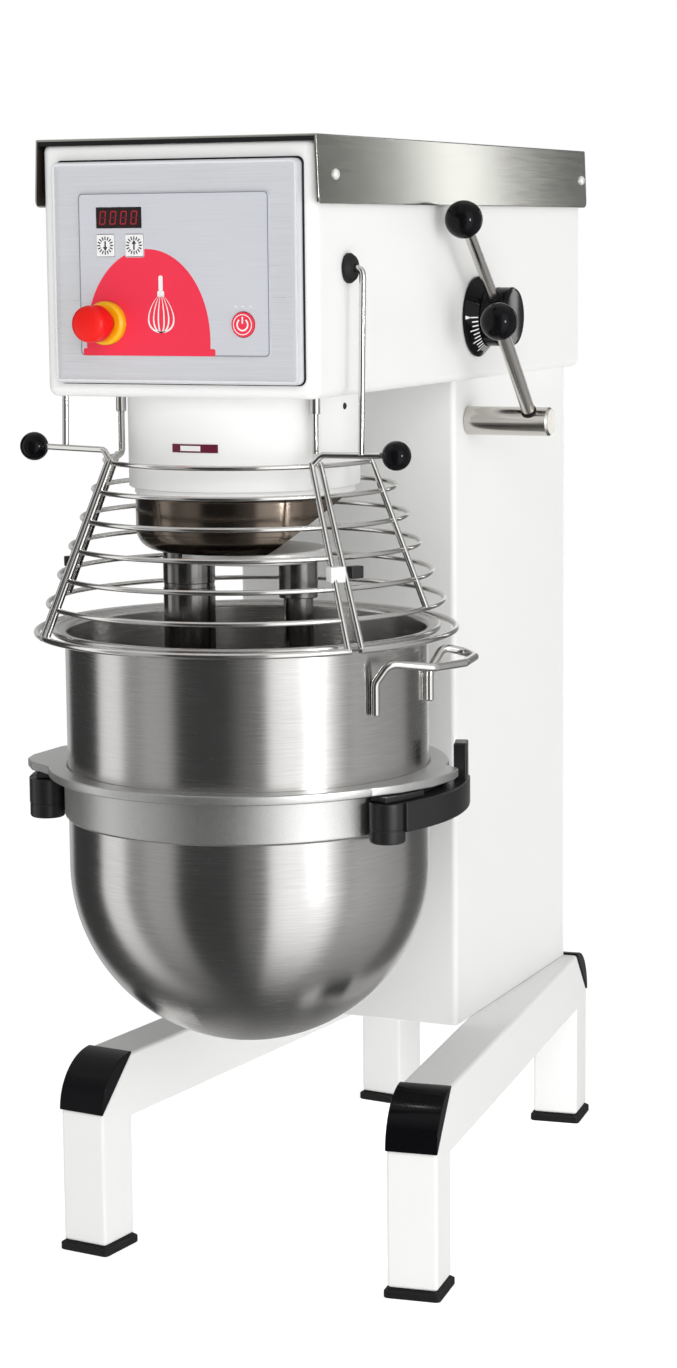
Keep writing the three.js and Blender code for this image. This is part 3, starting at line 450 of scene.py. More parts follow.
def base():
    end = RAIL_LENGTH
    low = RAIL_TOP - LEG
    frame_line = [(0, 12), (LEG, 12), (LEG, RAIL_UNDER), (end - LEG, RAIL_UNDER), (end - LEG, 12), (end, 12),
                  (end, low), (end - LEG, RAIL_TOP), (LEG, RAIL_TOP), (0, low)]
    cap_line = arc(LEG, low, LEG + 2, 180, 90, 20) + [(LEG, RAIL_TOP + 0.4), (-0.4, low)]
    for where, side in SIDES:
        rails = softened(crosswise(frame_line, -LEG_HALF, LEG_HALF), 4.5, 4)
        piece(f"rail_{where}", on_side(rails, side), ENAMEL, f"side_frame_{where}")
        for end_name, at_back in (("front", False), ("rear", True)):
            line = [(end - y, z) for y, z in cap_line] if at_back else cap_line
            cap = softened(crosswise(line, -LEG_HALF - 0.8, LEG_HALF + 0.8), 3.2, 4, 40)
            piece(f"cap_{end_name}_{where}", on_side(cap, side), BLACK_GLOSS,
                  f"corner_cap_{end_name}_{where}")
            y0 = end - LEG if at_back else 0
            tiers = []
            for grow, z in ((3.0, 0), (4, 1.2), (4, 8.6), (3.2, 9.8), (1.0, 10.2), (0.6, 11.7)):
                plan = rounded(-LEG_HALF - grow, LEG_HALF + grow, y0 - grow, y0 + LEG + grow, 5, 4)
                tiers.append([(x, y, z) for x, y in plan])
            piece(f"pad_{end_name}_{where}", on_side(lofted(tiers), side), BLACK_RUBBER_AND_SHADE,
                  f"foot_pad_{end_name}_{where}")


# ---- column, housing and cover

COLUMN_X, COLUMN_FRONT, COLUMN_BACK, COLUMN_TOP = 150, 297, 711, 1078.2
HEAD_X, HEAD_FRONT, HEAD_BACK, HEAD_LOW, HEAD_TOP = 171, -171, 707.5, 1078.5, 1365.5
LIFT = (344, 1025.5)
SPEED = (320.6, 1156.7)
GUARD_PIVOT = (-83, 1222)


def body_block(x, y0, y1, z0, z1, front, rear, edge):
    """A box with one rounding on its front uprights, another on the rear ones, and round ends."""
    def plan(inset):
        f, r = max(front - inset, 1.0), max(rear - inset, 0.6)
        a, b, c = x - inset, y0 + inset, y1 - inset
        return [*arc(a - f, b + f, f, -90, 0, 8), *arc(a - r, c - r, r, 0, 90, 6),
                *arc(r - a, c - r, r, 90, 180, 6), *arc(f - a, b + f, f, 180, 270, 8)]

    steps = [(edge * (1 - sin(radians(t))), edge * (1 - cos(radians(t)))) for t in range(0, 91, 15)]
    levels = [(inset, z0 + rise) for inset, rise in steps]
    levels += [(inset, z1 - rise) for inset, rise in reversed(steps)]
    return lofted([[(px, py, z) for px, py in plan(inset)] for inset, z in levels])


def side_hole(radius, y, z, x0, x1):
    return to_side(cylinder(radius, x0, x1), 0, y, z)


def column():
    wall = 4
    back = COLUMN_BACK - wall
    outer = body_block(COLUMN_X, COLUMN_FRONT, back, 246.9, COLUMN_TOP, 7, 1.5, 1.5)
    room = block(-COLUMN_X + wall, COLUMN_X - wall, COLUMN_FRONT + wall, back - wall, 257, 1090)
    opening = block(-126, 126, back - 6, back + 5, 257, 1090)
    slot = forward(rounded(-44, 44, 405, 645, 20), COLUMN_FRONT - 5, COLUMN_FRONT + 6)
    shaft = side_hole(12.5, *LIFT, 140, 160)
    piece("column_skin", outer, ENAMEL, "column_shell", cut=[room, opening, slot, shaft])
    plate = softened(block(-COLUMN_X, COLUMN_X, back + 0.3, COLUMN_BACK, 246.9, COLUMN_TOP - 8), 1.4, 3)
    piece("column_back_plate", plate, ENAMEL, "column_rear_cover")
    screws = [moved(screw_head(4.6, 2.2), lambda u, v, w, x=x, z=z: (x - u, COLUMN_BACK - 1.9 + w, z + v))
              for x in (-132, 132) for z in (290, 540, 790, 1035)]
    piece("column_back_screws", merged(*screws), BRIGHT_STEEL)


def screw_head(radius, rise):
    """A low domed screw head with a hexagon socket, drawn along Z."""
    dome = [(radius, 0), (radius, rise * 0.35), (radius * 0.86, rise * 0.75), (radius * 0.6, rise)]
    socket = [(radius * 0.42, rise), (radius * 0.42, rise * 0.4), (0, rise * 0.4)]
    return spun([(0, 0), *dome, *socket], 24)


def housing():
    outer = body_block(HEAD_X, HEAD_FRONT, HEAD_BACK, HEAD_LOW, HEAD_TOP, 14, 3.5, 11)
    room = block(-164, 164, -160, 700, 1085, 1358)
    above_column = block(-120, 120, 312, 697.5, 1070, 1090)
    spindle = upright(arc(0, 0, 61, 0, 357, 60), 1070, 1090)
    controls = block(-105, 112, -180, -150, 1132, 1302)
    holes = [side_hole(8.6, *SPEED, 150, 180), side_hole(5, *GUARD_PIVOT, -180, 180)]
    piece("housing_skin", outer, ENAMEL, "head_housing",
          cut=[room, above_column, spindle, controls, *holes])


def cover():
    x, splay, front, back, top, low, sheet = 175, 3, -174, 721, 1369.1, 1293.1, 2.5

    def shell(inset, upper, lower, y0, y1, radius):
        """Side view with round lower corners, pulled out sideways towards the bottom."""
        line = [*arc(y1 - 9, lower + 9, 9, 0, -90, 5), *arc(y0 + 9, lower + 9, 9, -90, -180, 5),
                (y0, upper), (y1, upper)]
        raw = crosswise(line, -x + inset, x - inset)
        if radius:
            raw = softened(raw, radius, 3, 40)
        return moved(raw, lambda a, b, c: (a + copysign(splay, a) * (top - c) / (top - low), b, c))

    outer = shell(0, top, low, front, back, 1.6)
    inner = shell(sheet, top - sheet, low - 30, front - 30, back - sheet, 0)
    # The seal is a black strip under the cover's front edge. It paints the shade in the gap between the
    # cover and the housing's rounded top edge.
    seal = block(-x + sheet + 0.3, x - sheet - 0.3, front + 0.5, -166, 1361.5, top - sheet - 0.1)
    piece("cover_sheet", outer, COVER_STEEL, "top_cover", cut=[inner])
    piece("cover_shade_strip", seal, BLACK_RUBBER_AND_SHADE)
    # The lining is a near-black sheet on the inner faces of the side flanges. It paints the shade and the
    # dark reflection seen there.
    high = x - sheet - 0.05
    deep = high + splay * (1366 - low - 2) / (top - low)
    section = [(high, 1366), (deep, low + 2), (deep - 0.3, low + 2), (high - 0.3, 1366)]
    inner_shade = [forward([(side * across, z) for across, z in section], front + 0.6, -150) for side in (-1, 1)]
    piece("cover_inner_shade", merged(*inner_shade), COVER_SHADE)
    heads = [to_side(screw_head(6.2, 4.0), x + splay * (top - z) / (top - low) - 0.6, y, z, side)
             for side in (-1, 1) for y, z in ((-125.9, 1325.6), (701.9, 1329.4))]
    piece("cover_screws", merged(*heads), PLATE_STEEL)


# ---- control panel

PANEL_BACK = HEAD_FRONT - 0.3
PANEL_FACE = PANEL_BACK - 13.7
FILM_FACE = PANEL_FACE - 0.3 - 1
KEY_Z, KEY_W, KEY_H = 1249.6, 22, 24.4
KEY_DOWN_X, KEY_UP_X = -80.5, -44
START, START_BACK = (89.8, 1161.7), -176
STOP = (-81.2, 1163)


def round_hole(radius, x, z):
    return to_front(cylinder(radius, 160, 200, 64), x, 0, z)


def key_line(x, grow, radius):
    return rounded(x - KEY_W / 2 - grow, x + KEY_W / 2 + grow, KEY_Z - KEY_H / 2 - grow,
                   KEY_Z + KEY_H / 2 + grow, radius, 3)


def key_hole(x, grow):
    return forward(key_line(x, grow, 2.0), -200, -160)


def panel():
    rings = []
    for inset, depth in ((0, 0), (0, 11.4), (0.7, 12.9), (2.2, 13.7), (3.8, 13.6), (5.4, 13), (8, 12.6),
                         (11, 12.5)):
        line = rounded(-150 + inset, 157 - inset, 1095 + inset, 1343 - inset, max(1.5, 7 - inset), 8)
        rings.append([(x, PANEL_BACK - depth, z) for x, z in line])
    holes = [key_hole(KEY_DOWN_X, 0.5), key_hole(KEY_UP_X, 0.5), round_hole(14.5, *START),
             round_hole(13.5, *STOP)]
    piece("panel_plate", lofted(rings), PANEL_STEEL, "control_panel", cut=holes)
    # The gasket is a dark outline just beyond the panel's edge. It paints the shadow line round the panel.
    shadow_line = forward(rounded(-150.8, 158.8, 1093.6, 1345.2, 8, 6), HEAD_FRONT - 0.05, HEAD_FRONT - 2.0)
    inner = forward(rounded(-147, 154, 1098, 1340, 7, 6), HEAD_FRONT + 5, HEAD_FRONT - 9)
    piece("panel_shadow_line", shadow_line, BLACK_RUBBER_AND_SHADE, cut=[inner])
    # The rim is a lighter, glossier band along the panel's rounded edge. It paints the highlight on that
    # edge.
    rim = [rounded(-150 + d, 157 - d, 1095 + d, 1343 - d, 7 - d, 8) for d in (2.0, 4.2)]
    piece("panel_rim_highlight", flat_band(*rim, PANEL_FACE + 0.1, 0.3), PANEL_HIGHLIGHT)
    film = forward(rounded(-115, 122, 1126, 1308, 5, 5), PANEL_FACE + 0.9, FILM_FACE)
    window = block(-92.3, -34.7, -200, -160, 1268.7, 1292.3)
    piece("control_film", film, FILM, "panel_overlay",
          cut=[key_hole(KEY_DOWN_X, 0.6), key_hole(KEY_UP_X, 0.6), round_hole(14.6, *START),
               round_hole(24.9, *STOP), window])
    border_outer = rounded(-114.6, 121.6, 1126.4, 1307.6, 4.8, 5)
    border_inner = rounded(-113.5, 120.5, 1127.5, 1306.5, 4.0, 5)
    piece("film_border", flat_band(border_outer, border_inner, FILM_FACE - 0.05), GREY_PRINT)
    glass = softened(block(-92, -35, FILM_FACE - 0.5, PANEL_FACE + 0.9, 1269, 1292), 0.4, 2)
    piece("display_glass", glass, DISPLAY, "display_window")
    digits()
    field()
    keys()
    stop_button()
    repaint(BOARD, "control_board")


def flat_band(outer, inner, y, thick=0.12):
    """A thin printed band between two outlines of (x, z) points."""
    edges = [(outer, y), (inner, y), (inner, y - thick), (outer, y - thick)]
    return lofted([[(x, depth, z) for x, z in line] for line, depth in edges], ring=True)


def printed(outline, y, thick=0.12):
    return forward(outline, y, y - thick)


def digits():
    """Four seven-segment zeros, with their middle segments unlit."""
    high, wide, thick, slant = 15.5, 8.0, 1.5, 0.12
    lit, unlit = [], []
    for i in range(4):
        x0, z0 = -88.6 + i * 13.2, 1272.7

        def bar(u0, u1, v0, v1):
            corners = [(x0 + u + slant * v, z0 + v) for u, v in flat(u0, u1, v0, v1)]
            return printed(corners, FILM_FACE - 0.5, 0.1)

        half = high / 2
        lit += [bar(thick, wide - thick, 0, thick), bar(thick, wide - thick, high - thick, high)]
        for u in (0, wide - thick):
            lit += [bar(u, u + thick, 0.6, half - 0.4), bar(u, u + thick, half + 0.4, high - 0.6)]
        unlit.append(bar(thick + 0.3, wide - thick - 0.3, half - thick / 2, half + thick / 2))
    piece("display_digits", merged(*lit), DIGIT)
    piece("display_unlit", merged(*unlit), MAROON)


def field():
    """The coral field, a plain arch on a foot strip, with a whisk drawn on it in white."""
    y = FILM_FACE - 0.06
    arch = [(x, 1144 + (z - 1144) * 1.30) for x, z in arc(-29, 1144, 78, 180, 0, 40)]
    keys_room = [key_hole(KEY_DOWN_X, 1.2), key_hole(KEY_UP_X, 1.2), round_hole(24.9, *STOP)]
    piece("coral_arch", printed(arch + [(49, 1130), (-107, 1130)], y), CORAL, cut=keys_room)
    strip = rounded(-111.5, 55, 1126.4, 1134.5, 2.2, 3)
    piece("coral_strip", printed(strip, y - 0.02), CORAL)
    lines = []
    cx, top, low = -12.0, 1216.0, 1152.0
    for reach in (15.0, 9.0, 3.4):
        outer = whisk_loop(cx, low, top - 22, reach + 0.8)
        inner = whisk_loop(cx, low + 1.6, top - 22, reach - 0.8)
        lines.append(flat_band(outer, inner, y - 0.14, 0.06))
    lines.append(printed(rounded(cx - 4.2, cx + 4.2, top - 24, top - 17, 1.5, 3), y - 0.14, 0.06))
    lines.append(printed(rounded(cx - 2.6, cx + 2.6, top - 17.2, top, 2.0, 3), y - 0.14, 0.06))
    piece("whisk_print", merged(*lines), WHITE_PRINT)


def whisk_loop(x, low, high, reach):
    """A closed loop that hangs from (x, high) and is widest near its foot."""
    return [(x + reach * sin(t) * (1.0 + 0.35 * cos(t)), (low + high) / 2 - (high - low) / 2 * cos(t))
            for t in (FULL_TURN * i / 40 for i in range(40))]


def keys():
    for name, x, up in (("key_down", KEY_DOWN_X, -1), ("key_up", KEY_UP_X, 1)):
        cap = softened(forward(key_line(x, 0, 1.6), HEAD_FRONT + 5, FILM_FACE - 1.4), 0.5, 2, 40)
        piece(f"{name}_cap", cap, WHITE_PRINT, name, body=name)
        y = FILM_FACE - 1.42
        marks = []
        for k in range(16):
            stroke = pointing(flat(6.2, 10.2, -0.7, 0.7), FULL_TURN * k / 16)
            marks.append(printed([(x + u, KEY_Z + v) for u, v in stroke], y, 0.1))
        marks.append(printed(flat(x - 0.9, x + 0.9, KEY_Z - 5, KEY_Z + 5), y, 0.1))
        tip = [(x - 2.9, KEY_Z + up * 1.6), (x + 2.9, KEY_Z + up * 1.6), (x, KEY_Z + up * 6.2)]
        marks.append(printed(tip, y - 0.01, 0.1))
        piece(f"{name}_marks", merged(*marks), DARK_PRINT, body=name)
    cap = [(0, 0), (14, 0), (14, 11.2), (13.4, 12.2), (12.2, 12.5), (0, 12.5)]
    piece("start_cap", to_front(spun(cap, 64), START[0], START_BACK, START[1]), CORAL, "start_button",
          body="start_button")
    y = START_BACK - 12.55
    cut_angle = 38
    symbol = [flat_arc(START, 5.6, 7.4, 90 + cut_angle, 450 - cut_angle, y),
              printed(flat(START[0] - 0.9, START[0] + 0.9, START[1] + 1, START[1] + 8.6), y, 0.1),
              flat_arc(START, 10.6, 11.6, 0, 360, y)]
    piece("start_symbol", merged(*symbol), WHITE_PRINT, body="start_button")
    hints = [printed(flat(START[0] + dx - 1.8, START[0] + dx + 1.8, 1181, 1182.2), FILM_FACE - 0.05)
             for dx in (-9, 0, 9)]
    piece("start_hints", merged(*hints), WHITE_PRINT)


def flat_arc(centre, inner, outer, start, end, y, steps=40):
    """A thin printed arc between two radii."""
    outside, inside = (arc(*centre, radius, start, end, steps) for radius in (outer, inner))
    return lofted([[(a, y, b), (c, y, d), (c, y - 0.1, d), (a, y - 0.1, b)]
                   for (a, b), (c, d) in zip(outside, inside)])


def stop_button():
    x, z = STOP
    collar = [(13.6, 0), (24.6, 0), (24.6, 6.5), (24, 8.5), (21.6, 10.8), (19.5, 11), (14.6, 9.8),
              (13.6, 9.2)]
    piece("stop_ring", to_front(turned(collar, 72), x, PANEL_FACE - 0.3, z), YELLOW, "stop_collar")
    cap = [(0, 0), (13, 0), (13, 36), (15, 37.8), (18.2, 38.2), (19.9, 39.6), (20.8, 42.2), (20.8, 58.4),
           (20.3, 61.8), (18.9, 64.8), (16.2, 67.2), (12, 68.9), (6, 69.8), (0, 70)]
    piece("stop_mushroom", to_front(spun(cap, 72), x, -169, z), RED, "stop_button", body="stop_button")


# ---- gearbox and planetary head

ORBIT, TOOL_ANGLE = 68, radians(204)
TOOL = (ORBIT * cos(TOOL_ANGLE), ORBIT * sin(TOOL_ANGLE))


def gearbox():
    outline = [(122, 960.4), (129.6, 960.4), (130.5, 961.4), (130.5, 967.6), (131.2, 968.4), (136, 968.4),
               (137, 969.6), (137, 1077.6), (136.4, 1078.2), (60, 1078.2), (60, 1140), (35.3, 1140),
               (35.3, 1045), (122, 1045)]
    piece("drum_skin", turned(outline, 128), ENAMEL, "gearbox_drum")
    plate = curved_label(-27, 30.5, 1014.5, 1024.2, 137.15, 0.5)
    piece("drum_label", plate, MAROON)
    piece("drum_label_field", curved_label(-15.7, 9.8, 1016.4, 1022.3, 137.75, 0.15), WHITE_PRINT)
    turn = Matrix.Rotation(radians(84), 3, "Z")
    head = moved(screw_head(4.0, 1.6), lambda u, v, w: tuple(turn @ Vector((u, -136.6 - w, v + 1063))))
    piece("drum_screw", head, BLACK_CAST)
    repaint(GEAR, "ring_gear", "main_bearing_lower", "main_bearing_upper")


def curved_label(x0, x1, z0, z1, radius, thick):
    """A thin label bent round the drum, from x0 to x1 as seen from the front."""
    rings = []
    for i in range(13):
        azimuth = degrees(asin((x0 + (x1 - x0) * i / 12) / radius))
        near, far = radius + thick, radius - 0.4
        rings.append([around(r, azimuth, z) for r, z in ((near, z0), (near, z1), (far, z1), (far, z0))])
    return lofted(rings)


def opposite_tool(shape):
    """Turned about the bowl's axis, so that +x points away from the tool."""
    cosine, sine = cos(TOOL_ANGLE + pi), sin(TOOL_ANGLE + pi)
    return moved(shape, lambda x, y, z: (x * cosine - y * sine, x * sine + y * cosine, z))


def planet():
    heel = arc(105, 918, 25, -75, 0, 10)
    dish = [(0, 893), (100, 893), (107, 893.2), *heel, (130, 955), (129, 957), (0, 957)]
    tilt = Matrix.Rotation(radians(-35), 3, "Y")

    def leaning(x, y, z):
        leaned = tilt @ Vector((x, y, z))
        return leaned.x + 25, leaned.y, leaned.z + 893

    slope = opposite_tool(moved(block(-220, 220, -220, 220, -200, 0), leaning))
    spindle = shifted(upright(arc(0, 0, 31.4, 0, 352.5, 47), 870, 970), *TOOL)
    shaft = upright(arc(0, 0, 16.3, 0, 345, 23), 913, 970)
    piece("planet_dish", spun(dish, 128), HEAD_STEEL, "planet_head", body="planet",
          cut=[slope, spindle, shaft])
    repaint(GEAR, "main_shaft", "driven_pulley", "planet_pinion", "motor_pulley", "drive_belt")
    scraper()
    body = [(0, 768), (30, 768), (31, 769), (31, 846), (30.2, 847), (30.2, 852), (31, 853), (31, 952.5),
            (30.5, 953), (15, 953), (15, 1020), (0, 1020)]
    piece("spindle_body", shifted(spun(body, 96), *TOOL), SPINDLE_STEEL, "tool_spindle", body="tool")


def scraper():
    disc = [(0, 879), (86.5, 879), (88, 880.5), (88, 891), (86.5, 892.6), (0, 892.6)]
    plate = opposite_tool(shifted(spun(disc, 120), 8))
    clear = shifted(upright(arc(0, 0, 31.6, 0, 352.5, 47), 860, 900), *TOOL)
    piece("carrier_plate", plate, PLATE_STEEL, "bowl_scraper", body="planet", cut=[clear])
    socket = [(0, 832.5), (22.6, 832.5), (23.5, 833.5), (23.5, 878.9), (0, 878.9)]
    neck = [(0, 752), (17.2, 752), (18, 753), (18, 832), (0, 832.5)]
    posts = [shifted(spun(line, 72), ORBIT - 6) for line in (socket, neck)]
    bend, outer = 513.8, 207.0
    lower = arc(0, bend, outer, -35, 0, 12)
    upper = arc(0, bend, outer - 13, 0, -35, 12)
    blade = forward([*lower, (outer, 764), (outer - 13, 764), *upper], -5, 5)
    arm = upright(rounded(ORBIT - 10, 196, -9, 9, 3, 4), 752.5, 765.5)
    whole = merged(*posts, *[softened(shape, 1.2, 2, 40) for shape in (arm, blade)])
    piece("scraper_arm", opposite_tool(whole), SPINDLE_STEEL, body="planet")


# ---- bowl

def bowl():
    radius, wall, low, rim = 217, 3, 296.8, 802.1
    centre = low + radius
    outside = arc(0, centre, radius, -90, 0, 28)
    inside = arc(0, centre, radius - wall, 0, -90, 28)
    outside[0], inside[-1] = (0, low), (0, low + wall)
    bead = arc(228.3, rim - 4.2, 4.2, -120, 150, 14)
    outline = [*outside, (radius, 700), (radius, 789), (218.5, 792), (222, 793.6), *bead, (220, 799.6),
               (215.8, 797.8), (214, 794), (radius - wall, 700), *inside]
    piece("bowl_shell", spun(outline, 192), BOWL_STEEL, "bowl", body="bowl_carriage", sharp=50)
    band = [(217.3, 574.5), (219, 574.5), (221.2, 577), (221.5, 579), (221.5, 621), (223, 624.4),
            (225, 624.8), (238.6, 624.8), (240.4, 626), (240.9, 628), (240.9, 632.6), (240.2, 634.8),
            (238.6, 635.8), (219, 635.8), (217.3, 634.2)]
    piece("collar_ring", turned(band, 192), CAST, "bowl_collar", body="bowl_carriage")
    ears = {"left": (-1, [(243, 60), (262, 67), (271, 73), (271, 78), (262, 92), (250, 98)]),
            "right": (1, [(242, 62), (249, 70), (256, 82), (260, 93), (258.6, 98.5), (250, 101)])}
    for where, (side, corners) in ears.items():
        outline = [around(r, side * a)[:2] for r, a in [(232.9, 54), *corners, (232.9, 106), (232.9, 75)]]
        ear = softened(upright(outline, 625.0, 635.7), 1.8, 3, 20)
        piece(f"collar_ear_{where}", ear, CAST, body="bowl_carriage")
    leg = 222.6
    path = [around(leg, 66.5, 714), around(leg, 66.5, 752), around(236, 68.6, 775), around(264, 80, 767),
            around(276, 92, 766), around(275, 103, 766), around(262, 108, 768), around(235, 106, 775),
            around(leg, 100, 750), around(leg, 100, 714)]
    piece("handle_loop", wire(bent(path, 15, 6), 5, 18), BRIGHT_STEEL, "bowl_handle", body="bowl_carriage")


def sector(inner, outer, start, end, z0, z1, steps=16):
    """Part of a flat ring about the bowl's axis, between two azimuths."""
    start, end = sorted((start, end))
    line = [around(outer, start + (end - start) * i / steps)[:2] for i in range(steps + 1)]
    line += [around(inner, end - (end - start) * i / steps)[:2] for i in range(steps + 1)]
    return upright(line, z0, z1)


LATCH_RADIUS, LATCH_ANGLE = 243, 66


def yoke():
    arms = softened(sector(224.5, 240.5, 71, 289, 585, 624.5, 72), 2.0, 3, 40)
    bracket = softened(block(-40, 40, 236, 330, 562, 624.5), 2.0, 3, 40)
    parts = [arms, bracket]
    for side in (-1, 1):
        x, y, _ = around(LATCH_RADIUS, side * LATCH_ANGLE)
        parts.append(softened(sector(227.5, 255, side * 63, side * 78, 618, 624.5, 8), 1.0, 2, 40))
        parts.append(shifted(cylinder(6, 592, 622, 32), x, y))
    piece("yoke_arms", merged(*parts), BLACK_CAST, "bowl_yoke", body="bowl_carriage")
    for where, side in SIDES:
        latch(where, side)


def latch(where, side):
    x, y, _ = around(LATCH_RADIUS, side * LATCH_ANGLE)
    barrel = [(0, 570), (18.8, 570), (20.2, 571), (21, 573), (21, 585.4), (20.5, 586), (20.5, 587),
              (21, 587.6), (21, 615.4), (20.2, 616.8), (18.6, 617.4), (6.6, 617.4), (6.6, 590), (0, 590)]
    parts = [shifted(spun(barrel, 72), x, y),
             softened(sector(242.5, 266, side * 68, side * 112, 583, 617.4, 24), 2.4, 3, 40),
             softened(sector(248, 264, side * 104, side * 111, 605, 661, 4), 2.4, 3, 40)]
    piece(f"latch_body_{where}", merged(*parts), BLACK_CAST, f"latch_{where}", body=f"latch_{where}")


# ---- levers

LEVER_LENGTH, BALL = 173, 23
DIAL_EDGE, DIAL_CROWN = (49, 4.4), (36.8, 16.2)


def ball(name, centre, radius, towards, body, nodes):
    """A ball knob with a small flat collar where its rod enters."""
    neck = asin(0.36)
    curve = [(radius * sin(a), radius * cos(a)) for a in ((pi - neck) * i / 24 for i in range(1, 25))]
    line = [(0, radius), *curve, (radius * 0.34, -radius * 0.96), (0, -radius * 0.96)]
    spin = Vector((0, 0, -1)).rotation_difference(Vector(towards).normalized()).to_matrix()
    shape = moved(spun(line, 48), lambda x, y, z: tuple(spin @ Vector((x, y, z)) + Vector(centre)))
    piece(name, shape, BLACK_GLOSS, nodes, body=body)


def lift_lever():
    y, z = LIFT
    shaft = [(0, 150.3), (17.2, 150.3), (18, 151.2), (18, 258.8), (16.2, 260.6), (15.6, 262), (0, 262)]
    both = merged(to_side(spun(shaft, 72), 0, y, z), to_side(cylinder(12, -145, 151, 40), 0, y, z))
    piece("shaft_body", both, ROD_STEEL, "lift_shaft", body="lift_lever")
    lever("lift", (236, y, z), 132.3, 18.6, 8.6, "lift_lever")


def lever(name, hub, tilt, start, radius, body):
    """A rod that leaves its hub at an angle about the x axis, with a seal at its foot and a ball."""
    x, y, z = hub
    cosine, sine = cos(radians(tilt)), sin(radians(tilt))
    first, foot, last, centre = (Vector((x, y + reach * cosine, z + reach * sine)) for reach in (
        start - 1.5, start + 1.2, LEVER_LENGTH - BALL * 0.9, LEVER_LENGTH))
    piece(f"{name}_rod_seal", wire([first, foot], radius + 1.4, 28), BLACK_RUBBER_AND_SHADE, body=body)
    rod = wire([first, (first + last) / 2, last], radius, 28)
    piece(f"{name}_rod", rod, LEVER_STEEL, f"{name}_lever_rod", body=body)
    ball(f"{name}_ball", centre, BALL, first - last, body, f"{name}_knob")


def speed_lever():
    y, z = SPEED
    x0 = HEAD_X + 0.3
    cone = [(8.6, 0), (49, 0), (50, 1), (50, 3.4), DIAL_EDGE, DIAL_CROWN, (35.6, 17), (8.6, 17)]
    piece("dial_disc", to_side(turned(cone, 96), x0, y, z), BLACK_GLOSS, "speed_dial")
    marks = [dial_mark(180 + k * 7.5, 37.2, 43.0 if k % 3 else 45.5, 0.75) for k in range(13)]
    marks.append(dial_mark(180, 44.0, 49.4, 2.3, 0.3))
    piece("dial_marks", merged(*[to_side(m, x0, y, z) for m in marks]), WHITE_PRINT)
    hub = [(0, -25.3), (8, -25.3), (8, 17.3), (35.1, 17.3), (36.5, 18.6), (36.5, 31.4), (35.9, 32.2),
           (36.5, 33), (36.5, 47.6), (34.7, 50), (30.5, 50.7), (0, 50.7)]
    piece("hub_body", to_side(spun(hub, 80), x0, y, z), BLACK_GLOSS, "speed_hub", body="speed_lever")
    lever("speed", (203, y, z), 136.3, 37.1, 7, "speed_lever")


def dial_mark(turn, inner, outer, half, tip=None):
    """A white mark lying on the dial's cone, between two radii, that may narrow to a tip."""
    (edge, low), (crown, high) = DIAL_EDGE, DIAL_CROWN
    tip = half if tip is None else tip
    corners = [(inner, -tip), (outer, -half), (outer, half), (inner, tip)]
    heights = [low + (edge - r) * (high - low) / (edge - crown) + 0.12 for r, _ in corners]
    spots = pointing(corners, radians(turn))
    return lofted([[(u, v, height + lift) for (u, v), height in zip(spots, heights)]
                   for lift in (-0.3, 0.12)])


# ---- guard

WIRE, BAR = 3.0, 3.7
RING_GROWTH, RING_DROP = 14.1, 33.8
RING_RADIUS = [165.3 + RING_GROWTH * i for i in range(7)]
RING_Z = [999.2 - RING_DROP * i for i in range(7)]
RING_WIRE = [WIRE] * 6 + [WIRE + 0.8]
# azimuths where the swinging door and the fixed cage end, and of the cage's side ribs
DOOR = {"left": -43.5, "right": 52.6}
CAGE = {"left": -47.5, "right": 56.7}
CAGE_SIDE = 87.5
KNOBS = {"left": (-237, -84, 1014), "right": (230, -84, 1012)}


def rib(azimuth, last=6):
    top = around(RING_RADIUS[0], azimuth, RING_Z[0] + 4)
    return wire([top, around(RING_RADIUS[last], azimuth, RING_Z[last])], BAR, 14)


def ring_part(i, start, end):
    return wire(ring_line(RING_RADIUS[i], RING_Z[i], start - 0.8, end + 0.8), RING_WIRE[i], 14)


def guard():
    parts = [ring_part(i, DOOR["left"], DOOR["right"]) for i in range(7)]
    for where, side in SIDES:
        parts.append(rib(DOOR[where]))
        kx, ky, kz = KNOBS[where]
        rib_top = around(RING_RADIUS[0], DOOR[where], RING_Z[0])
        handle = [(kx - side * 17.5, ky - 2.5, kz), (rib_top[0] + side * 12, rib_top[1] + 3, kz), rib_top]
        parts.append(wire(bent(handle, 9, 6), BAR, 14))
        py, pz = GUARD_PIVOT
        hanger = [(HEAD_X - 8, py, pz), (190, py, pz), (190, py - 9, kz)]
        parts.append(wire([(side * p[0], p[1], p[2]) for p in bent(hanger, 9, 6)], WIRE + 0.8, 14))
        ball(f"guard_ball_{where}", KNOBS[where], 17, (-side, 0, 0), "guard", f"guard_knob_{where}")
        bush = [(4.7, 0.3), (16.4, 0.3), (17, 1), (17, 4.2), (16.2, 5.4), (13.8, 8.6), (12.6, 9.6),
                (11, 10), (4.7, 10)]
        piece(f"guard_grommet_{where}", to_side(turned(bush, 56), HEAD_X, *GUARD_PIVOT, side), BLACK_RUBBER_AND_SHADE,
              f"guard_bush_{where}")
    piece("guard_door_wires", merged(*parts), BRIGHT_STEEL, "guard_front", body="guard")
    rear_guard()
    guard_clips()


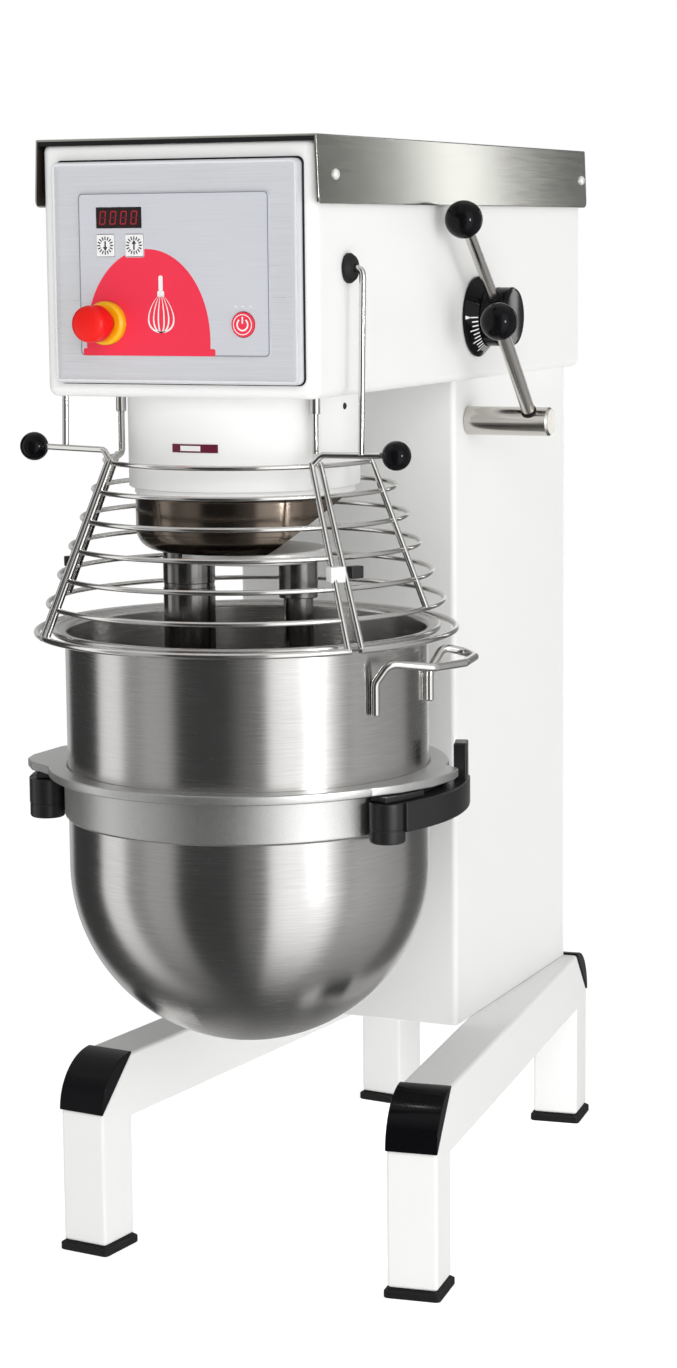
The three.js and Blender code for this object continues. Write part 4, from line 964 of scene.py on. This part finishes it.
def rear_guard():
    parts = [ring_part(i, CAGE["right"], 360 + CAGE["left"]) for i in range(2, 7)]
    for i, end in ((0, CAGE_SIDE), (1, 154)):
        parts += [ring_part(i, CAGE["right"], end), ring_part(i, 360 - end, 360 + CAGE["left"])]
    for where, side in SIDES:
        parts += [rib(CAGE[where]), rib(side * CAGE_SIDE, 5)]
        sleeve = [(0, 1056.5), (5.4, 1056.5), (6, 1057.2), (6, 1078.2), (0, 1078.2)]
        parts.append(shifted(spun(sleeve, 32), side * 125, -73))
        rib_top = around(RING_RADIUS[0], CAGE[where], RING_Z[0])
        drop = [(side * 125, -73, 1060), (side * 125, -73, 1008), rib_top]
        parts.append(wire(bent(drop, 8, 5), WIRE + 0.8, 14))
    piece("guard_cage_wires", merged(*parts), BRIGHT_STEEL, "guard_rear")


def on_bars(azimuth, z, across, out, tall):
    """A small block standing on the guard's bars at an azimuth, turned to face outwards."""
    radius = RING_RADIUS[0] + RING_GROWTH / RING_DROP * (RING_Z[0] - z)
    x, y, _ = around(radius, azimuth)
    turn = Matrix.Rotation(radians(azimuth), 3, "Z")
    shape = softened(block(-across / 2, across / 2, -out / 2, out / 2, -tall / 2, tall / 2), 1.4, 3)
    return moved(shape, lambda u, v, w: tuple(turn @ Vector((u, v, w)) + Vector((x, y, z))))


def guard_clips():
    """The catch that holds the door to the cage, its sensor block, and a small block at the left."""
    piece("guard_catch", on_bars(53.6, 880, 19, 13, 18), WHITE_PRINT, body="guard")
    piece("guard_sensor", on_bars(60.6, 881, 17, 12, 14), BLACK_CAST)
    piece("guard_clip_left", on_bars(-51.5, 884, 9, 10, 12), BLACK_CAST)


# ---- studio

def direction_parts(tree):
    """The world's direction as azimuth (0 the front, +90 the lever side) and height."""
    where = add_node(tree, "ShaderNodeTexCoord").outputs["Generated"]
    split = add_node(tree, "ShaderNodeSeparateXYZ", {"Vector": where}).outputs
    return computed(tree, "ARCTAN2", split["X"], computed(tree, "MULTIPLY", split["Y"], -1)), split["Z"]


def ramp_of(tree, source, low, high, stops, top):
    """Luminance by stops over low..high, where top is the brightest that the ramp can give."""
    inputs = {"Value": source, "From Min": low, "From Max": high}
    share = add_node(tree, "ShaderNodeMapRange", inputs).outputs["Result"]
    ramp = add_node(tree, "ShaderNodeValToRGB", {"Fac": share})
    elements = ramp.color_ramp.elements
    while len(elements) > 1:
        elements.remove(elements[-1])
    for i, (value, light) in enumerate(stops):
        spot = (value - stops[0][0]) / (stops[-1][0] - stops[0][0])
        element = elements[0] if i == 0 else elements.new(spot)
        element.position = spot
        element.color = (light / top, light / top, light / top, 1)
    return ramp.outputs["Color"]


def background(tree, color, strength):
    return add_node(tree, "ShaderNodeBackground", {"Color": color, "Strength": strength}).outputs[0]


def either(tree, share, first, second):
    return add_node(tree, "ShaderNodeMixShader", {"Fac": share, 1: first, 2: second}).outputs[0]


# brightness of the studio as the polished parts see it, by azimuth in degrees
BANDS = [(-180, 0.30), (-152, 0.45), (-148, 0.60), (-130, 0.60), (-124, 0.05), (-85, 0.05), (-80, 1.10),
         (-63, 1.10), (-57, 0.36), (-47, 0.36), (-42, 0.50), (-26, 0.48), (-19, 0.05), (12, 0.05),
         (24, 0.20), (35, 0.25), (39, 1.25), (50, 1.50), (76, 1.40), (86, 0.70), (91, 0.45), (95, 0.60),
         (140, 0.40), (148, 0.14), (170, 0.14), (180, 0.30)]
BRIGHTEST = 2.0
# and by height, from straight down at -1 to straight up at 1: the floor and the ceiling, and their
# share against the bands
FLOOR_AND_CEILING = [(-1, 0.07), (0, 0.07), (0.01, 0.7), (1, 0.7)]
ENDS_SHARE = [(-1, 1), (-0.93, 0.75), (-0.72, 0.25), (-0.45, 0), (0.5, 0), (0.8, 1), (1, 1)]
# brightness of the soft light on the painted parts, by azimuth, times SOFTEST
SOFT_LIGHT = [(-180, 0.40), (-110, 0.20), (-60, 0.34), (-20, 0.70), (30, 0.85), (90, 0.80), (130, 0.60),
              (180, 0.40)]
SOFTEST, FLOOR_GLOW = 0.72, 0.68


def studio():
    """Polished parts see BANDS, painted parts are lit by SOFT_LIGHT, and the camera sees plain white."""
    scene = bpy.context.scene
    scene.view_settings.view_transform = "Standard"
    scene.world = bpy.data.worlds.new("studio")
    scene.world.use_nodes = True
    tree = scene.world.node_tree
    azimuth, height = direction_parts(tree)
    walls = ramp_of(tree, azimuth, -pi, pi, BANDS, BRIGHTEST)
    ends = ramp_of(tree, height, -1, 1, FLOOR_AND_CEILING, BRIGHTEST)
    seen = blend(tree, ramp_of(tree, height, -1, 1, ENDS_SHARE, 1), walls, ends)
    soft = ramp_of(tree, azimuth, -pi, pi, SOFT_LIGHT, 1)
    rays = add_node(tree, "ShaderNodeLightPath").outputs
    painted, polished = background(tree, soft, SOFTEST), background(tree, seen, BRIGHTEST)
    light = either(tree, rays["Is Glossy Ray"], painted, polished)
    shown = either(tree, rays["Is Camera Ray"], light, background(tree, (1, 1, 1, 1), 1))
    fill(tree, tree.nodes["World Output"], {"Surface": shown})


def floor():
    """A plain pale floor. Polished parts see the studio's walls through it, as from a raised stand."""
    size = 30
    mesh = bpy.data.meshes.new("floor")
    corners = [(-size, -size, 0), (size, -size, 0), (size, size, 0), (-size, size, 0)]
    mesh.from_pydata(corners, [], [[0, 1, 2, 3]])
    ground = add_object("floor", mesh)
    material = bpy.data.materials.new("floor")
    material.use_nodes = True
    tree = material.node_tree
    shader = tree.nodes["Principled BSDF"]
    fill(tree, shader, {"Base Color": (0.85, 0.85, 0.85, 1), "Roughness": 0.9, "Specular IOR Level": 0.0,
                        "Emission Color": (1, 1, 1, 1), "Emission Strength": FLOOR_GLOW})
    clear = add_node(tree, "ShaderNodeBsdfTransparent").outputs[0]
    glossy = add_node(tree, "ShaderNodeLightPath").outputs["Is Glossy Ray"]
    surface = either(tree, glossy, shader.outputs["BSDF"], clear)
    fill(tree, tree.nodes["Material Output"], {"Surface": surface})
    mesh.materials.append(material)


def soft_box(name, azimuth, distance, height, width, tall, power, aim=0.8, glossy=False):
    light = bpy.data.lights.new(name, "AREA")
    light.shape = "RECTANGLE"
    light.size, light.size_y = width, tall
    light.energy = power
    obj = add_object(name, light)
    x, y, _ = around(distance, azimuth)
    spot = Vector((AXIS.x + x, AXIS.y + y, height))
    obj.location = spot
    obj.rotation_mode = "QUATERNION"
    obj.rotation_quaternion = (Vector((AXIS.x, AXIS.y + 0.2, aim)) - spot).to_track_quat("-Z", "Y")
    obj.visible_camera = False
    obj.visible_glossy = glossy
    obj.visible_diffuse = not glossy


CAMERA = {"spot": (1526.7, -3190.0, 1256.7), "yaw": 23.814, "pitch": -8.522, "roll": -0.537}
SENSOR, LENS = 36, 78.489474


def camera():
    data = bpy.data.cameras.new("camera")
    data.sensor_width = SENSOR
    data.lens = LENS
    data.clip_start, data.clip_end = 0.05, 100
    obj = add_object("camera", data)
    yaw, pitch, roll = (radians(CAMERA[key]) for key in ("yaw", "pitch", "roll"))
    ahead = Vector((-sin(yaw) * cos(pitch), cos(yaw) * cos(pitch), sin(pitch)))
    right = Vector((cos(yaw), sin(yaw), 0))
    up = right.cross(ahead)
    across = right * cos(roll) + up * sin(roll)
    above = up * cos(roll) - right * sin(roll)
    turn = Matrix((across, above, -ahead)).transposed().to_4x4()
    obj.matrix_world = Matrix.Translation(place(CAMERA["spot"])) @ turn
    bpy.context.scene.camera = obj


def inside():
    """CAD pieces that stay as they are inside the machine."""
    repaint(MOTOR, "drive_motor")
    repaint(GEAR, "lift_sector", "lift_idler", "lift_carriage", "lift_guide")
    repaint(BEATER, "flat_beater")


camera()
studio()
floor()
soft_box("front_light", 25, 4.4, 2.4, 2.0, 2.0, 57)
soft_box("lever_light", 85, 3.6, 1.2, 2.0, 2.2, 27)
soft_box("window", 66, 3.2, 1.15, 0.36, 0.62, 30, glossy=True)
soft_box("cover_light", 156.6, 2.17, 1.4, 0.13, 1.2, 1.35, aim=1.34, glossy=True)
base()
column()
housing()
cover()
panel()
gearbox()
planet()
bowl()
yoke()
lift_lever()
speed_lever()
guard()
inside()
